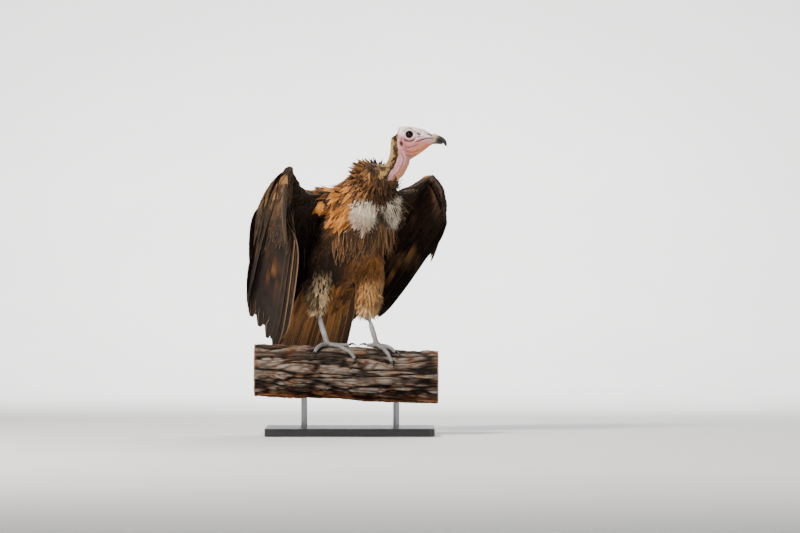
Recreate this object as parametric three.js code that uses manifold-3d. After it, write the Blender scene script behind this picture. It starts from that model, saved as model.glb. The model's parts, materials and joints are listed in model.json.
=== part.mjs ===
// A hooded vulture standing on a cut length of dead branch, life size, as a still display model.
// Units are millimetres, +Z is up, the origin is the middle of the stand base's underside.
// The bird's own frame: f forward, l to its left, u up, from the point between its feet.
import * as THREE from 'three';
import { LoftGeometry } from 'three/addons/geometries/LoftGeometry.js';
import { mergeVertices } from 'three/addons/utils/BufferGeometryUtils.js';
import Module from 'manifold-3d';

const wasm = await Module();
wasm.setup();

// ---- driving dimensions -------------------------------------------------------------------
const PERCH_TOP = 230;
const HEADING_DEG = 38;
const PERCH_RADIUS = 69;
const PERCH_LEFT = -250;
const PERCH_RIGHT = 230;
const BASE_LENGTH = 440;
const BASE_DEPTH = 300;
const BASE_THICKNESS = 20;
const BASE_CORNER = 16;
const ROD_RADIUS = 8;
const ROD_SPACING = 240;
const EYE_RADIUS = 8.5;
const GAP = 0.3;
const GROW = 0.6;
const FACET_SHARE = 0.02;
const FACET_FINEST = 0.35;
const FACET_COARSEST = 1.4;
const SLIVER_TOLERANCE = 0.05;
const WELD = 1e-3;
const NUDGES = [[0.06, 0, 0], [-0.06, 0, 0], [0, 0.06, 0], [0, -0.06, 0], [0, 0, 0.06], [0, 0, -0.06]];
const CLAW_LENGTH = 27;
const WING_ROOT_THICKNESS = 20;
const WING_TIP_THICKNESS = 2.8;
const TAIL_ROOT_HALF_WIDTH = 78;
const TAIL_TIP_HALF_WIDTH = 100;
const TAIL_FEATHERS = 12;
const PRIMARIES = 10;
const SECONDARIES = 10;

const turn = THREE.MathUtils.degToRad(HEADING_DEG);
const FORWARD = new THREE.Vector3(Math.sin(turn), -Math.cos(turn), 0);
const LEFT = new THREE.Vector3(Math.cos(turn), Math.sin(turn), 0);
const UP = new THREE.Vector3(0, 0, 1);

// trunk stations along the spine: forward, up, half width, half depth
const TRUNK = [
  [-134, 116, 32, 16],
  [-112, 150, 48, 34],
  [-75, 195, 72, 60],
  [-35, 245, 86, 80],
  [8, 300, 92, 88],
  [45, 355, 92, 86],
  [78, 400, 80, 74],
  [103, 430, 58, 54],
  [122, 450, 43, 42],
];
// neck stations: x, y, height over the perch's top, half width, half depth
const NECK = [
  [86, -86, 436, 30, 29],
  [107, -96, 449, 26, 26],
  [122, -95, 470, 23, 28],
  [131, -93, 496, 22, 28],
  [131, -90, 522, 21, 27],
  [126, -88, 545, 17, 20],
];
// head stations along the bill's direction: x, top height, bottom height, half width
const HEAD_Y = -88;
const HEAD = [
  [121, 558, 532, 9],
  [125, 566.5, 514, 15.5],
  [131, 571.5, 500, 19.5],
  [140, 573, 490, 22],
  [152, 572.5, 486, 21.5],
  [163, 571, 489, 19.5],
  [174, 569, 496, 17],
  [185, 566.5, 504, 14.5],
  [196, 562.5, 511.5, 12],
  [206, 558, 518.5, 10.2],
  [215.5, 554, 523, 9],
];
// upper bill: x, height, half width, half height, and the lower bill the same way
const BILL_UPPER = [
  [216, 547.6, 8.2, 6.3],
  [226, 544.5, 7.6, 6.4],
  [236, 540.2, 6.6, 6.5],
  [243.5, 534.5, 5.2, 6.2],
  [248, 527, 3.6, 4.6],
  [249.6, 520.5, 1.3, 1.6],
];
const BILL_LOWER = [
  [216, 533.4, 7.2, 8.4],
  [224, 532.2, 6.4, 6.6],
  [231, 529.8, 5.4, 5.4],
  [239, 526.6, 3.4, 3.8],
];
const EYE_X = 154;
const EYE_HEIGHT = 551;
const EYE_SPREAD = 14;
// legs by side: leggings, shank and where the foot stands
const LEG = {
  right: {
    thigh: [[-60, 2, 262, 40], [-72, 0, 210, 39], [-79.5, 3, 172, 32], [-82, 10, 130, 22],
      [-83.5, 15, 101, 16], [-84, 17, 88, 11]],
    shank: [[-83.5, 17, 100, 6.5, 8], [-80, 15, 76, 5, 6], [-73, 9, 48, 4.6, 5.4],
      [-65, 2, 24, 5.2, 6], [-61, -2, 6, 7, 8.5]],
    foot: [-60, -3],
    toes: {
      middle: [[-58, -2], [-36, 12], [-12, 30], [6, 45], [13, 56]],
      outer: [[-62, 0], [-76, 18], [-86, 32], [-92, 43]],
      inner: [[-56, -4], [-40, -1], [-22, -2], [-4, 1]],
      hind: [[-62, -4], [-66, -18], [-68, -31]],
    },
  },
  left: {
    thigh: [[46, 22, 262, 40], [50, 25, 205, 40], [50, 24, 148, 36], [46, 21, 108, 27],
      [44, 18, 82, 19], [44, 17, 70, 12]],
    shank: [[46, 18, 92, 6.5, 8], [50, 15, 72, 5, 6], [57, 9, 46, 4.6, 5.4],
      [65, 2, 20, 5.2, 6], [69, -2, 2, 7, 8.5]],
    foot: [70, -3],
    toes: {
      middle: [[72, -2], [82, 14], [94, 32], [103, 46], [108, 57]],
      outer: [[74, -2], [92, 6], [107, 16], [118, 27]],
      inner: [[68, -3], [60, 0], [52, 3], [44, 3]],
      hind: [[69, -4], [65, -18], [62, -31]],
    },
  },
};
// wings: joints in f, l outward, u, then feather rows as root, two controls and tip
const WING = {
  right: {
    side: -1,
    shoulder: [50, 72, 385],
    elbow: [-128, 178, 365],
    wrist: [20, 210, 464],
    fingers: [0, 199, 338],
    front: [[64, 62, 388], [46, 106, 396], [22, 158, 399], [24, 205, 458]],
    knuckle: [12, 206, 410],
    secondaries: [
      [[-18, 84, 372], [-98, 50, 332], [-134, 26, 230], [-166, 14, 116]],
      [[-60, 138, 373], [-135, 126, 345], [-178, 90, 230], [-198, 58, 108]],
      [[-126, 180, 366], [-172, 180, 330], [-215, 140, 210], [-225, 95, 95]],
      [[-57, 198, 415], [-115, 215, 392], [-205, 175, 240], [-240, 140, 85]],
      [[12, 207, 456], [-50, 232, 425], [-165, 190, 260], [-225, 164, 96]],
    ],
    primaries: [
      [[13, 207, 450], [-44, 228, 415], [-158, 186, 248], [-219, 159, 78]],
      [[14, 207, 429], [-15, 212, 370], [-115, 170, 200], [-195, 138, 39]],
      [[4, 201, 364], [-15, 188, 280], [-90, 158, 125], [-170, 124, -5]],
      [[0, 199, 338], [-15, 173, 239], [-75, 157, 122], [-140, 125, 10]],
    ],
    alula: [[18, 222, 422], [10, 226, 372], [-4, 217, 318], [-18, 200, 268]],
  },
  left: {
    side: 1,
    shoulder: [50, 72, 385],
    elbow: [-85, 180, 355],
    wrist: [75, 212, 446],
    fingers: [95, 239, 325],
    front: [[64, 66, 392], [74, 110, 410], [80, 165, 424], [80, 208, 444]],
    knuckle: [94, 234, 400],
    secondaries: [
      [[-14, 84, 370], [-84, 66, 325], [-130, 50, 215], [-156, 46, 96]],
      [[-31, 137, 367], [-90, 125, 335], [-142, 106, 190], [-168, 92, 44]],
      [[-82, 182, 356], [-130, 180, 320], [-175, 150, 190], [-195, 126, 39]],
      [[-5, 196, 401], [-75, 215, 385], [-185, 200, 225], [-232, 175, 57]],
      [[68, 209, 442], [0, 245, 425], [-165, 255, 260], [-257, 223, 78]],
    ],
    primaries: [
      [[70, 210, 437], [4, 246, 416], [-163, 257, 250], [-257, 229, 80]],
      [[82, 221, 410], [35, 245, 355], [-135, 262, 205], [-239, 246, 78]],
      [[93, 237, 350], [45, 246, 285], [-90, 252, 160], [-191, 242, 76]],
      [[95, 239, 325], [40, 238, 255], [-60, 226, 155], [-137, 216, 81]],
    ],
    alula: [[86, 238, 405], [80, 252, 352], [56, 249, 285], [37, 233, 222]],
  },
};
const TAIL_ROOT = [-104, 158];
const TAIL_TIP = [-208, -45];

const COLOURS = {
  brown: 0x4a3526,
  dark: 0x241c18,
  trunk: 0x8a6038,
  skin: 0xd9a493,
  horn: 0x4c4a48,
  claw: 0x1a1817,
  eye: 0x120c0a,
  shank: 0xb9bcc2,
  down: 0xd8c7ab,
  branch: 0x8d7f72,
  stand: 0x2b2b2d,
};

// ---- helpers ------------------------------------------------------------------------------
const smooth = (edge0, edge1, value) => THREE.MathUtils.smoothstep(value, edge0, edge1);

const world = (x, y, height) => new THREE.Vector3(x, y, height + PERCH_TOP);

// a point given in the bird's own frame
const bird = (f, l, u) => {
  const point = world(0, 0, u);
  point.addScaledVector(FORWARD, f);
  point.addScaledVector(LEFT, l);
  return point;
};

// one closed solid from a three.js geometry, turned the right way out
const solid = (geometry) => {
  const plain = new THREE.BufferGeometry();
  plain.setAttribute('position', geometry.attributes.position);
  plain.setIndex(geometry.index);
  const merged = mergeVertices(plain, WELD);
  const kept = [];
  for (let i = 0; i < merged.index.count; i += 3) {
    const [a, b, c] = [0, 1, 2].map((k) => merged.index.getX(i + k));
    if (a !== b && b !== c && c !== a) {
      kept.push(a, b, c);
    }
  }
  const build = (corners) => new wasm.Manifold(new wasm.Mesh({
    numProp: 3,
    vertProperties: Float32Array.from(merged.attributes.position.array),
    triVerts: Uint32Array.from(corners),
  }));
  const straight = build(kept);
  return straight.volume() > 0 ? straight : build(kept.reverse());
};

const geometryOf = (manifold) => {
  const mesh = manifold.getMesh();
  const positions = [];
  for (let i = 0; i < mesh.vertProperties.length; i += mesh.numProp) {
    positions.push(mesh.vertProperties[i], mesh.vertProperties[i + 1], mesh.vertProperties[i + 2]);
  }
  const geometry = new THREE.BufferGeometry();
  geometry.setAttribute('position', new THREE.Float32BufferAttribute(positions, 3));
  geometry.setIndex(Array.from(mesh.triVerts));
  return geometry;
};

// the same solid a little larger, every facet moved out by at least the given distance
const grown = (manifold, by = GROW) => {
  const geometry = geometryOf(manifold);
  geometry.computeVertexNormals();
  const { position, normal } = geometry.attributes;
  const least = new Float32Array(position.count).fill(1);
  const corner = (i) => new THREE.Vector3().fromBufferAttribute(position, i);
  const facet = new THREE.Triangle();
  const facing = new THREE.Vector3();
  for (let i = 0; i < geometry.index.count; i += 3) {
    const corners = [0, 1, 2].map((k) => geometry.index.getX(i + k));
    facet.set(...corners.map(corner));
    if (facet.getArea() > 1e-4) {
      facet.getNormal(facing);
      for (const c of corners) {
        least[c] = Math.min(least[c], facing.dot(new THREE.Vector3().fromBufferAttribute(normal, c)));
      }
    }
  }
  for (let i = 0; i < position.count; i += 1) {
    const reach = by / Math.max(least[i], 0.4);
    const away = new THREE.Vector3().fromBufferAttribute(normal, i);
    const moved = corner(i).addScaledVector(away, reach);
    position.setXYZ(i, moved.x, moved.y, moved.z);
  }
  return solid(geometry);
};

// the same solid with its nearly flat facets merged, less strictly on a large one
const lean = (manifold) => {
  const size = Math.cbrt(manifold.volume());
  const tolerance = THREE.MathUtils.clamp(size * FACET_SHARE, FACET_FINEST, FACET_COARSEST);
  return solid(geometryOf(manifold.simplify(tolerance)));
};

// a closed loft whose two ends are fans onto the middle of the end rings
const loft = (sections) => {
  const middleOf = (ring) => {
    const middle = new THREE.Vector3();
    ring.forEach((point) => middle.add(point));
    middle.divideScalar(ring.length);
    return ring.map(() => middle.clone());
  };
  const first = middleOf(sections[0]);
  const last = middleOf(sections[sections.length - 1]);
  return solid(new LoftGeometry([first, ...sections, last]));
};

const largest = (manifold) => {
  const parts = manifold.decompose();
  parts.sort((p, q) => q.volume() - p.volume());
  return parts[0];
};

// what is left of a solid once each neighbour and a thin gap around it are taken away
const cut = (manifold, ...others) => {
  let result = manifold;
  for (const other of others) {
    result = result.subtract(grown(other)).subtract(other);
  }
  result = lean(largest(result));
  for (const other of others) {
    for (const shift of NUDGES) {
      result = result.subtract(other.translate(shift));
    }
  }
  return largest(solid(geometryOf(largest(result).simplify(SLIVER_TOLERANCE))));
};

// a round-ended body swept along stations { p, a, b } with its a axis near the side vector
const sweep = (stations, { side, rings = 12, sides = 16, startDome = 0.6, endDome = 0.6, power = 2 }) => {
  const path = new THREE.CatmullRomCurve3(stations.map((s) => s.p), false, 'centripetal');
  const sizes = new THREE.CatmullRomCurve3(stations.map((s) => new THREE.Vector3(s.a, s.b, 0)));
  const ring = (at, shrink, along) => {
    const middle = path.getPoint(at);
    const size = sizes.getPoint(at);
    const tangent = path.getTangent(at).normalize();
    const across = side.clone().addScaledVector(tangent, -side.dot(tangent)).normalize();
    const over = tangent.clone().cross(across);
    const points = [];
    for (let j = 0; j < sides; j += 1) {
      const angle = (j / sides) * Math.PI * 2;
      const c = Math.cos(angle);
      const s = Math.sin(angle);
      const x = Math.sign(c) * Math.abs(c) ** (2 / power) * size.x * shrink;
      const y = Math.sign(s) * Math.abs(s) ** (2 / power) * size.y * shrink;
      const point = middle.clone().addScaledVector(across, x);
      point.addScaledVector(over, y).addScaledVector(tangent, along * Math.min(size.x, size.y));
      points.push(point);
    }
    return points;
  };
  const sections = [];
  if (startDome > 0) {
    sections.push(ring(0, 0.3, -startDome), ring(0, 0.74, -startDome * 0.68));
  }
  for (let i = 0; i <= rings; i += 1) {
    sections.push(ring(i / rings, 1, 0));
  }
  if (endDome > 0) {
    sections.push(ring(1, 0.74, endDome * 0.68), ring(1, 0.3, endDome));
  }
  return lean(loft(sections));
};

// a plate of varying thickness over surface(s, t), as a loft of flat loops from s = 0 to s = 1
const plate = (surface, thickness, across, along) => {
  const sections = [];
  const eps = 0.004;
  for (let i = -1; i <= across + 1; i += 1) {
    const s = THREE.MathUtils.clamp(i / across, 0, 1);
    const flat = i < 0 || i > across ? 0 : 1;
    const upper = [];
    const lower = [];
    for (let j = 0; j <= along; j += 1) {
      const t = j / along;
      const point = surface(s, t);
      const ds = surface(Math.min(1, s + eps), t).sub(surface(Math.max(0, s - eps), t));
      const dt = surface(s, Math.min(1, t + eps)).sub(surface(s, Math.max(0, t - eps)));
      const normal = ds.cross(dt).normalize();
      const half = (flat * thickness(s, t)) / 2;
      upper.push(point.clone().addScaledVector(normal, half));
      lower.push(point.clone().addScaledVector(normal, -half));
    }
    sections.push([...upper, ...lower.reverse()]);
  }
  return lean(solid(new LoftGeometry(sections)));
};

// feather rows to a surface: s runs across the rows, t from root to tip
const fan = (rows, side, feathers, reach) => {
  const curves = [0, 1, 2, 3].map((k) => {
    const points = rows.map((row) => bird(row[k][0], side * row[k][1], row[k][2]));
    return new THREE.CatmullRomCurve3(points, false, 'centripetal');
  });
  return (s, t) => {
    const [a, b, c, d] = curves.map((curve) => curve.getPoint(s));
    const feather = new THREE.CubicBezierCurve3(a, b, c, d);
    const within = s * feathers - Math.floor(s * feathers);
    const notch = reach * (1 - Math.sin(Math.PI * within) ** 0.5);
    return feather.getPoint(t * (1 - notch));
  };
};

const wingThickness = (s, t) => THREE.MathUtils.lerp(
  WING_ROOT_THICKNESS,
  WING_TIP_THICKNESS,
  smooth(0, 0.75, t),
);

// ---- perch and stand ----------------------------------------------------------------------
const perchMiddle = (x) => world(x, 0, -71 - 0.032 * x - 2.5 * Math.sin(x / 90));

const perchRadius = (x, angle) => {
  const ridges = 0.018 * Math.sin(7 * angle + x / 70) + 0.014 * Math.sin(11 * angle - x / 45 + 1);
  const swell = 0.02 * Math.sin(x / 60 + 2 * angle) + 0.012 * Math.sin(x / 31);
  return PERCH_RADIUS * (1 + ridges + swell);
};

// a point over the branch's bark: angle 0 on top, positive towards the viewer's side
const overPerch = (x, angle, lift) => {
  const radius = perchRadius(x, angle) + lift;
  const point = perchMiddle(x);
  point.y -= radius * Math.sin(angle);
  point.z += radius * Math.cos(angle);
  return point;
};

const makePerch = () => {
  const sections = [];
  const steps = 9;
  for (let i = 0; i <= steps; i += 1) {
    const x = THREE.MathUtils.lerp(PERCH_LEFT, PERCH_RIGHT, i / steps);
    const points = [];
    for (let j = 0; j < 16; j += 1) {
      points.push(overPerch(x, (j / 16) * Math.PI * 2, 0));
    }
    sections.push(points);
  }
  return loft(sections);
};

const perch = makePerch();

const baseShape = new THREE.Shape();
const halfLength = BASE_LENGTH / 2;
const halfDepth = BASE_DEPTH / 2;
baseShape.moveTo(-halfLength + BASE_CORNER, -halfDepth);
baseShape.lineTo(halfLength - BASE_CORNER, -halfDepth);
baseShape.absarc(halfLength - BASE_CORNER, -halfDepth + BASE_CORNER, BASE_CORNER, -Math.PI / 2, 0);
baseShape.absarc(halfLength - BASE_CORNER, halfDepth - BASE_CORNER, BASE_CORNER, 0, Math.PI / 2);
baseShape.absarc(-halfLength + BASE_CORNER, halfDepth - BASE_CORNER, BASE_CORNER, Math.PI / 2, Math.PI);
baseShape.absarc(-halfLength + BASE_CORNER, -halfDepth + BASE_CORNER, BASE_CORNER, Math.PI, Math.PI * 1.5);
const standBase = solid(new THREE.ExtrudeGeometry(baseShape, {
  depth: BASE_THICKNESS,
  bevelEnabled: false,
  curveSegments: 3,
}));

const makeRod = (x) => {
  const bottom = BASE_THICKNESS + GAP;
  const top = PERCH_TOP - 110;
  const rod = new THREE.CylinderGeometry(ROD_RADIUS, ROD_RADIUS, top - bottom, 16);
  rod.rotateX(Math.PI / 2);
  rod.translate(x, 0, (top + bottom) / 2);
  return cut(solid(rod), perch);
};

// ---- body ---------------------------------------------------------------------------------
const trunk = sweep(
  TRUNK.map(([f, u, a, b]) => ({ p: bird(f, 0, u), a, b })),
  { side: LEFT, rings: 9, sides: 14, startDome: 0.8, endDome: 0.55 },
);

const headSections = HEAD.map(([x, top, bottom, width]) => {
  const points = [];
  const middle = (top + bottom) / 2;
  const height = (top - bottom) / 2;
  for (let j = 0; j < 14; j += 1) {
    const angle = (j / 14) * Math.PI * 2;
    const rise = Math.cos(angle);
    const narrow = rise < 0 ? 1 - 0.1 * rise * rise : 1;
    points.push(world(x, HEAD_Y + width * narrow * Math.sin(angle), middle + height * rise));
  }
  return points;
});
const headBlock = loft(headSections);

const makeEye = (direction) => {
  const ball = new THREE.SphereGeometry(EYE_RADIUS, 8, 6);
  ball.rotateX(Math.PI / 2);
  const place = world(EYE_X, HEAD_Y + direction * EYE_SPREAD, EYE_HEIGHT);
  ball.translate(place.x, place.y, place.z);
  return solid(ball);
};
const eyeRight = makeEye(-1);
const eyeLeft = makeEye(1);
const head = cut(headBlock, eyeRight, eyeLeft);

const bill = (stations, dome) => sweep(
  stations.map(([x, height, a, b]) => ({ p: world(x, HEAD_Y, height), a, b })),
  { side: new THREE.Vector3(0, 1, 0), rings: 6, sides: 10, startDome: 0, endDome: dome },
);
const billUpper = cut(bill(BILL_UPPER, 0.6), head);
const billLower = cut(bill(BILL_LOWER, 0.6), head, billUpper);

const neck = cut(
  sweep(
    NECK.map(([x, y, height, a, b]) => ({ p: world(x, y, height), a, b })),
    { side: new THREE.Vector3(0, 1, 0), rings: 6, sides: 12, startDome: 0.4, endDome: 0.3 },
  ),
  trunk,
  head,
);

// ---- legs ---------------------------------------------------------------------------------
const legNodes = {};
for (const [name, leg] of Object.entries(LEG)) {
  const thigh = cut(
    sweep(
      leg.thigh.map(([x, y, height, r]) => ({ p: world(x, y, height), a: r, b: r * 1.06 })),
      { side: LEFT, rings: 6, sides: 12, startDome: 0.5, endDome: 0.5 },
    ),
    trunk,
  );
  const shank = cut(
    sweep(
      leg.shank.map(([x, y, height, a, b]) => ({ p: world(x, y, height), a, b })),
      { side: LEFT, rings: 5, sides: 9, startDome: 0.4, endDome: 0.5 },
    ),
    thigh,
    perch,
  );
  const pad = new THREE.SphereGeometry(10, 8, 4);
  pad.scale(1.15, 1, 0.8);
  const rest = overPerch(leg.foot[0], THREE.MathUtils.degToRad(leg.foot[1]), 8);
  pad.translate(rest.x, rest.y, rest.z);
  let foot = solid(pad);
  const claws = {};
  for (const [toe, path] of Object.entries(leg.toes)) {
    const last = path.length - 1;
    const radiusAt = (i) => THREE.MathUtils.lerp(6.6, 4.4, i / last);
    const stations = path.map(([x, degrees], i) => {
      const r = radiusAt(i);
      return { p: overPerch(x, THREE.MathUtils.degToRad(degrees), r * 1.02), a: r, b: r * 0.9 };
    });
    foot = foot.add(sweep(stations, { side: UP, rings: 3, sides: 6, startDome: 0.5, endDome: 0.6 }));
    const [x1, d1] = path[last];
    const [x0, d0] = path[last - 1];
    const step = Math.hypot(x1 - x0, THREE.MathUtils.degToRad(d1 - d0) * PERCH_RADIUS);
    const stride = CLAW_LENGTH / step;
    const lifts = [6, 8.5, 7, 1.8];
    const claw = [0.05, 0.33, 0.68, 0.98].map((k, i) => ({
      p: overPerch(
        x1 + (x1 - x0) * stride * k * 0.86,
        THREE.MathUtils.degToRad(d1 + (d1 - d0) * stride * k * 0.86),
        lifts[i],
      ),
      a: [3.7, 3.1, 2.1, 0.7][i],
      b: [3.1, 2.6, 1.8, 0.6][i],
    }));
    claws[toe] = sweep(claw, { side: UP, rings: 3, sides: 6, startDome: 0.4, endDome: 0.4 });
  }
  foot = cut(foot, shank, perch);
  for (const [toe, shape] of Object.entries(claws)) {
    legNodes[`claw_${name}_${toe}`] = [cut(shape, foot, perch), 'claw', 0.3];
  }
  legNodes[`foot_${name}`] = [foot, 'shank', 0.7];
  legNodes[`tarsus_${name}`] = [shank, 'shank', 0.7];
  legNodes[`thigh_${name}`] = [thigh, 'down', 0.95];
}

// ---- tail ---------------------------------------------------------------------------------
const tailSurface = (s, t) => {
  const across = s * 2 - 1;
  const within = s * TAIL_FEATHERS - Math.floor(s * TAIL_FEATHERS);
  const notch = 0.035 * (1 - Math.sin(Math.PI * within) ** 0.5) + 0.07 * across * across;
  const along = t * (1 - notch);
  const width = THREE.MathUtils.lerp(TAIL_ROOT_HALF_WIDTH, TAIL_TIP_HALF_WIDTH, along);
  const arch = 16 * (1 - across * across);
  const f = THREE.MathUtils.lerp(TAIL_ROOT[0], TAIL_TIP[0], along) - arch * 0.9 + 10;
  const u = THREE.MathUtils.lerp(TAIL_ROOT[1], TAIL_TIP[1], along) + arch * 0.3;
  return bird(f, across * width, u);
};
const tail = cut(
  plate(tailSurface, (s, t) => THREE.MathUtils.lerp(12, 3, smooth(0, 0.6, t)), TAIL_FEATHERS * 2, 2),
  trunk,
  perch,
  legNodes.thigh_right[0],
  legNodes.thigh_left[0],
);

// ---- wings --------------------------------------------------------------------------------
const wingNodes = {};
for (const [name, wing] of Object.entries(WING)) {
  const place = ([f, l, u]) => bird(f, wing.side * l, u);
  const [shoulder, elbow, wrist, fingers] = [wing.shoulder, wing.elbow, wing.wrist, wing.fingers].map(place);
  const knuckle = place(wing.knuckle);
  const between = (p, q, k) => p.clone().lerp(q, k);
  const bone = (stations) => sweep(stations, {
    side: LEFT, rings: 4, sides: 8, startDome: 0.6, endDome: 0.6,
  });
  const forearm = bone([
    { p: elbow, a: 14, b: 15 },
    { p: between(elbow, wrist, 0.35), a: 15, b: 16 },
    { p: between(elbow, wrist, 0.7), a: 13, b: 14 },
    { p: between(elbow, wrist, 0.95), a: 11, b: 11 },
  ]);
  const hand = cut(bone([
    { p: wrist, a: 11, b: 10 },
    { p: knuckle, a: 10, b: 9 },
    { p: between(knuckle, fingers, 0.6), a: 8, b: 7 },
    { p: fingers, a: 5.5, b: 5 },
  ]), forearm);
  const front = new THREE.CatmullRomCurve3(wing.front.map(place), false, 'centripetal');
  const back = new THREE.QuadraticBezierCurve3(shoulder, elbow, between(wrist, elbow, 0.06));
  const web = plate(
    (s, t) => front.getPoint(s).lerp(back.getPoint(s), t),
    (s, t) => THREE.MathUtils.lerp(9, 12, t),
    8,
    2,
  );
  const humerus = bone([
    { p: between(shoulder, elbow, 0.02), a: 27, b: 30 },
    { p: between(shoulder, elbow, 0.4), a: 24, b: 26 },
    { p: between(shoulder, elbow, 0.75), a: 19, b: 20 },
    { p: between(shoulder, elbow, 0.98), a: 15, b: 16 },
  ]);
  const upperArm = cut(humerus.add(web), trunk, forearm, hand, neck);
  const secondaries = cut(
    plate(fan(wing.secondaries, wing.side, SECONDARIES, 0.03), wingThickness, SECONDARIES * 2, 3),
    trunk,
    forearm,
    hand,
    upperArm,
    tail,
  );
  const primaries = cut(
    plate(fan(wing.primaries, wing.side, PRIMARIES, 0.035), wingThickness, PRIMARIES * 2, 3),
    trunk,
    forearm,
    hand,
    upperArm,
    secondaries,
    tail,
    perch,
  );
  const thumbPoints = wing.alula.map(place);
  const thumb = sweep(
    thumbPoints.map((p, i) => ({ p, a: [4, 5, 5, 2.5][i], b: [9, 18, 18, 5][i] })),
    { side: LEFT, rings: 5, sides: 8, startDome: 0.4, endDome: 0.4 },
  );
  wingNodes[`forearm_${name}`] = [forearm, 'brown', 0.9];
  wingNodes[`hand_${name}`] = [hand, 'brown', 0.9];
  wingNodes[`upper_arm_${name}`] = [upperArm, 'brown', 0.9];
  wingNodes[`secondaries_${name}`] = [secondaries, 'dark', 0.85];
  wingNodes[`primaries_${name}`] = [primaries, 'dark', 0.85];
  wingNodes[`alula_${name}`] = [cut(thumb, forearm, hand, upperArm, primaries, secondaries), 'dark', 0.85];
}

// ---- the group ----------------------------------------------------------------------------
const group = new THREE.Group();
group.name = 'vulture';

const put = (name, manifold, colour, roughness, metalness = 0) => {
  const material = new THREE.MeshStandardMaterial({ color: COLOURS[colour], roughness, metalness });
  const mesh = new THREE.Mesh(geometryOf(largest(manifold)), material);
  mesh.name = name;
  group.add(mesh);
};

put('trunk', trunk, 'trunk', 0.95);
put('neck', neck, 'skin', 0.8);
put('head', head, 'skin', 0.7);
put('bill_upper', billUpper, 'horn', 0.35);
put('bill_lower', billLower, 'horn', 0.35);
put('eye_right', eyeRight, 'eye', 0.08);
put('eye_left', eyeLeft, 'eye', 0.08);
put('tail', tail, 'brown', 0.85);
for (const [name, [shape, colour, roughness]] of Object.entries({ ...legNodes, ...wingNodes })) {
  put(name, shape, colour, roughness);
}
put('perch', perch, 'branch', 0.9);
put('stand_base', standBase, 'stand', 0.5);
put('stand_rod_left', makeRod(-ROD_SPACING / 2), 'stand', 0.4, 0.8);
put('stand_rod_right', makeRod(ROD_SPACING / 2), 'stand', 0.4, 0.8);

export default group;
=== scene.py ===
"""A hooded vulture on a cut length of branch: skin, head, plumage, bark and stand round its solids."""

import json
import math

import bpy
import numpy as np
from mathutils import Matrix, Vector
from mathutils.bvhtree import BVHTree

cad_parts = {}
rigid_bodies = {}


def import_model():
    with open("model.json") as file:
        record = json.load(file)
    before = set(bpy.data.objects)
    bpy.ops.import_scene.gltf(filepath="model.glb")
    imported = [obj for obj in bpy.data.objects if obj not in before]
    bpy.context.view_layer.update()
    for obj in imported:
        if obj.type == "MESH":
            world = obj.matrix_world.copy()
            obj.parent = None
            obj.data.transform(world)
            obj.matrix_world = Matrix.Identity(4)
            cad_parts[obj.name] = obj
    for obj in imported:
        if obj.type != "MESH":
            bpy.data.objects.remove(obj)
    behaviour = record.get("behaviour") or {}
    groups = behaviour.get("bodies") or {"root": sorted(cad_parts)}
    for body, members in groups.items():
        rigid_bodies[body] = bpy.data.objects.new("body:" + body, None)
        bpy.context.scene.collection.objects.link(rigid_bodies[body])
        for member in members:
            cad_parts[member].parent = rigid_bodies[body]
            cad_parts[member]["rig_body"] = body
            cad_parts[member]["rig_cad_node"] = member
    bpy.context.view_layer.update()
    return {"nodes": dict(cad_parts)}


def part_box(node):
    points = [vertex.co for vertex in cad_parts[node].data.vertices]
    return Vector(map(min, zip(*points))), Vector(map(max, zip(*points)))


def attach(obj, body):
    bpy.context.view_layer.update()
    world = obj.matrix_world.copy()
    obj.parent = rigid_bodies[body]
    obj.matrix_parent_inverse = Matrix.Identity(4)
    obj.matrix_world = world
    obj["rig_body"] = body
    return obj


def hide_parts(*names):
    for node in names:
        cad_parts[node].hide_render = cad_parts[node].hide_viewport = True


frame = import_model()
NODES = frame["nodes"]

# ---- driving values: millimetres in the bird's own frame, metres in the scene ---------------
MM = 0.001
PERCH_TOP = 0.230
HEADING = math.radians(38)
FORWARD = np.array([math.sin(HEADING), -math.cos(HEADING), 0.0])
LEFT = np.array([math.cos(HEADING), math.sin(HEADING), 0.0])
UP = np.array([0.0, 0.0, 1.0])
HEAD_Y = -0.088
EYE_RADIUS = 0.0085
EYE_X = 0.154
EYE_Z = PERCH_TOP + 0.551
EYE_SPREAD = 0.014
EYE_OPENING = 0.0077
TUFT_PATCH = 0.003

SKIN_NODES = ["trunk", "neck", "head", "thigh_right", "thigh_left", "tarsus_right", "tarsus_left",
              "foot_right", "foot_left", "upper_arm_right", "upper_arm_left", "forearm_right",
              "forearm_left", "hand_right", "hand_left"]
SIDES = ("right", "left")
TOES = ("middle", "outer", "inner", "hind")

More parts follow.
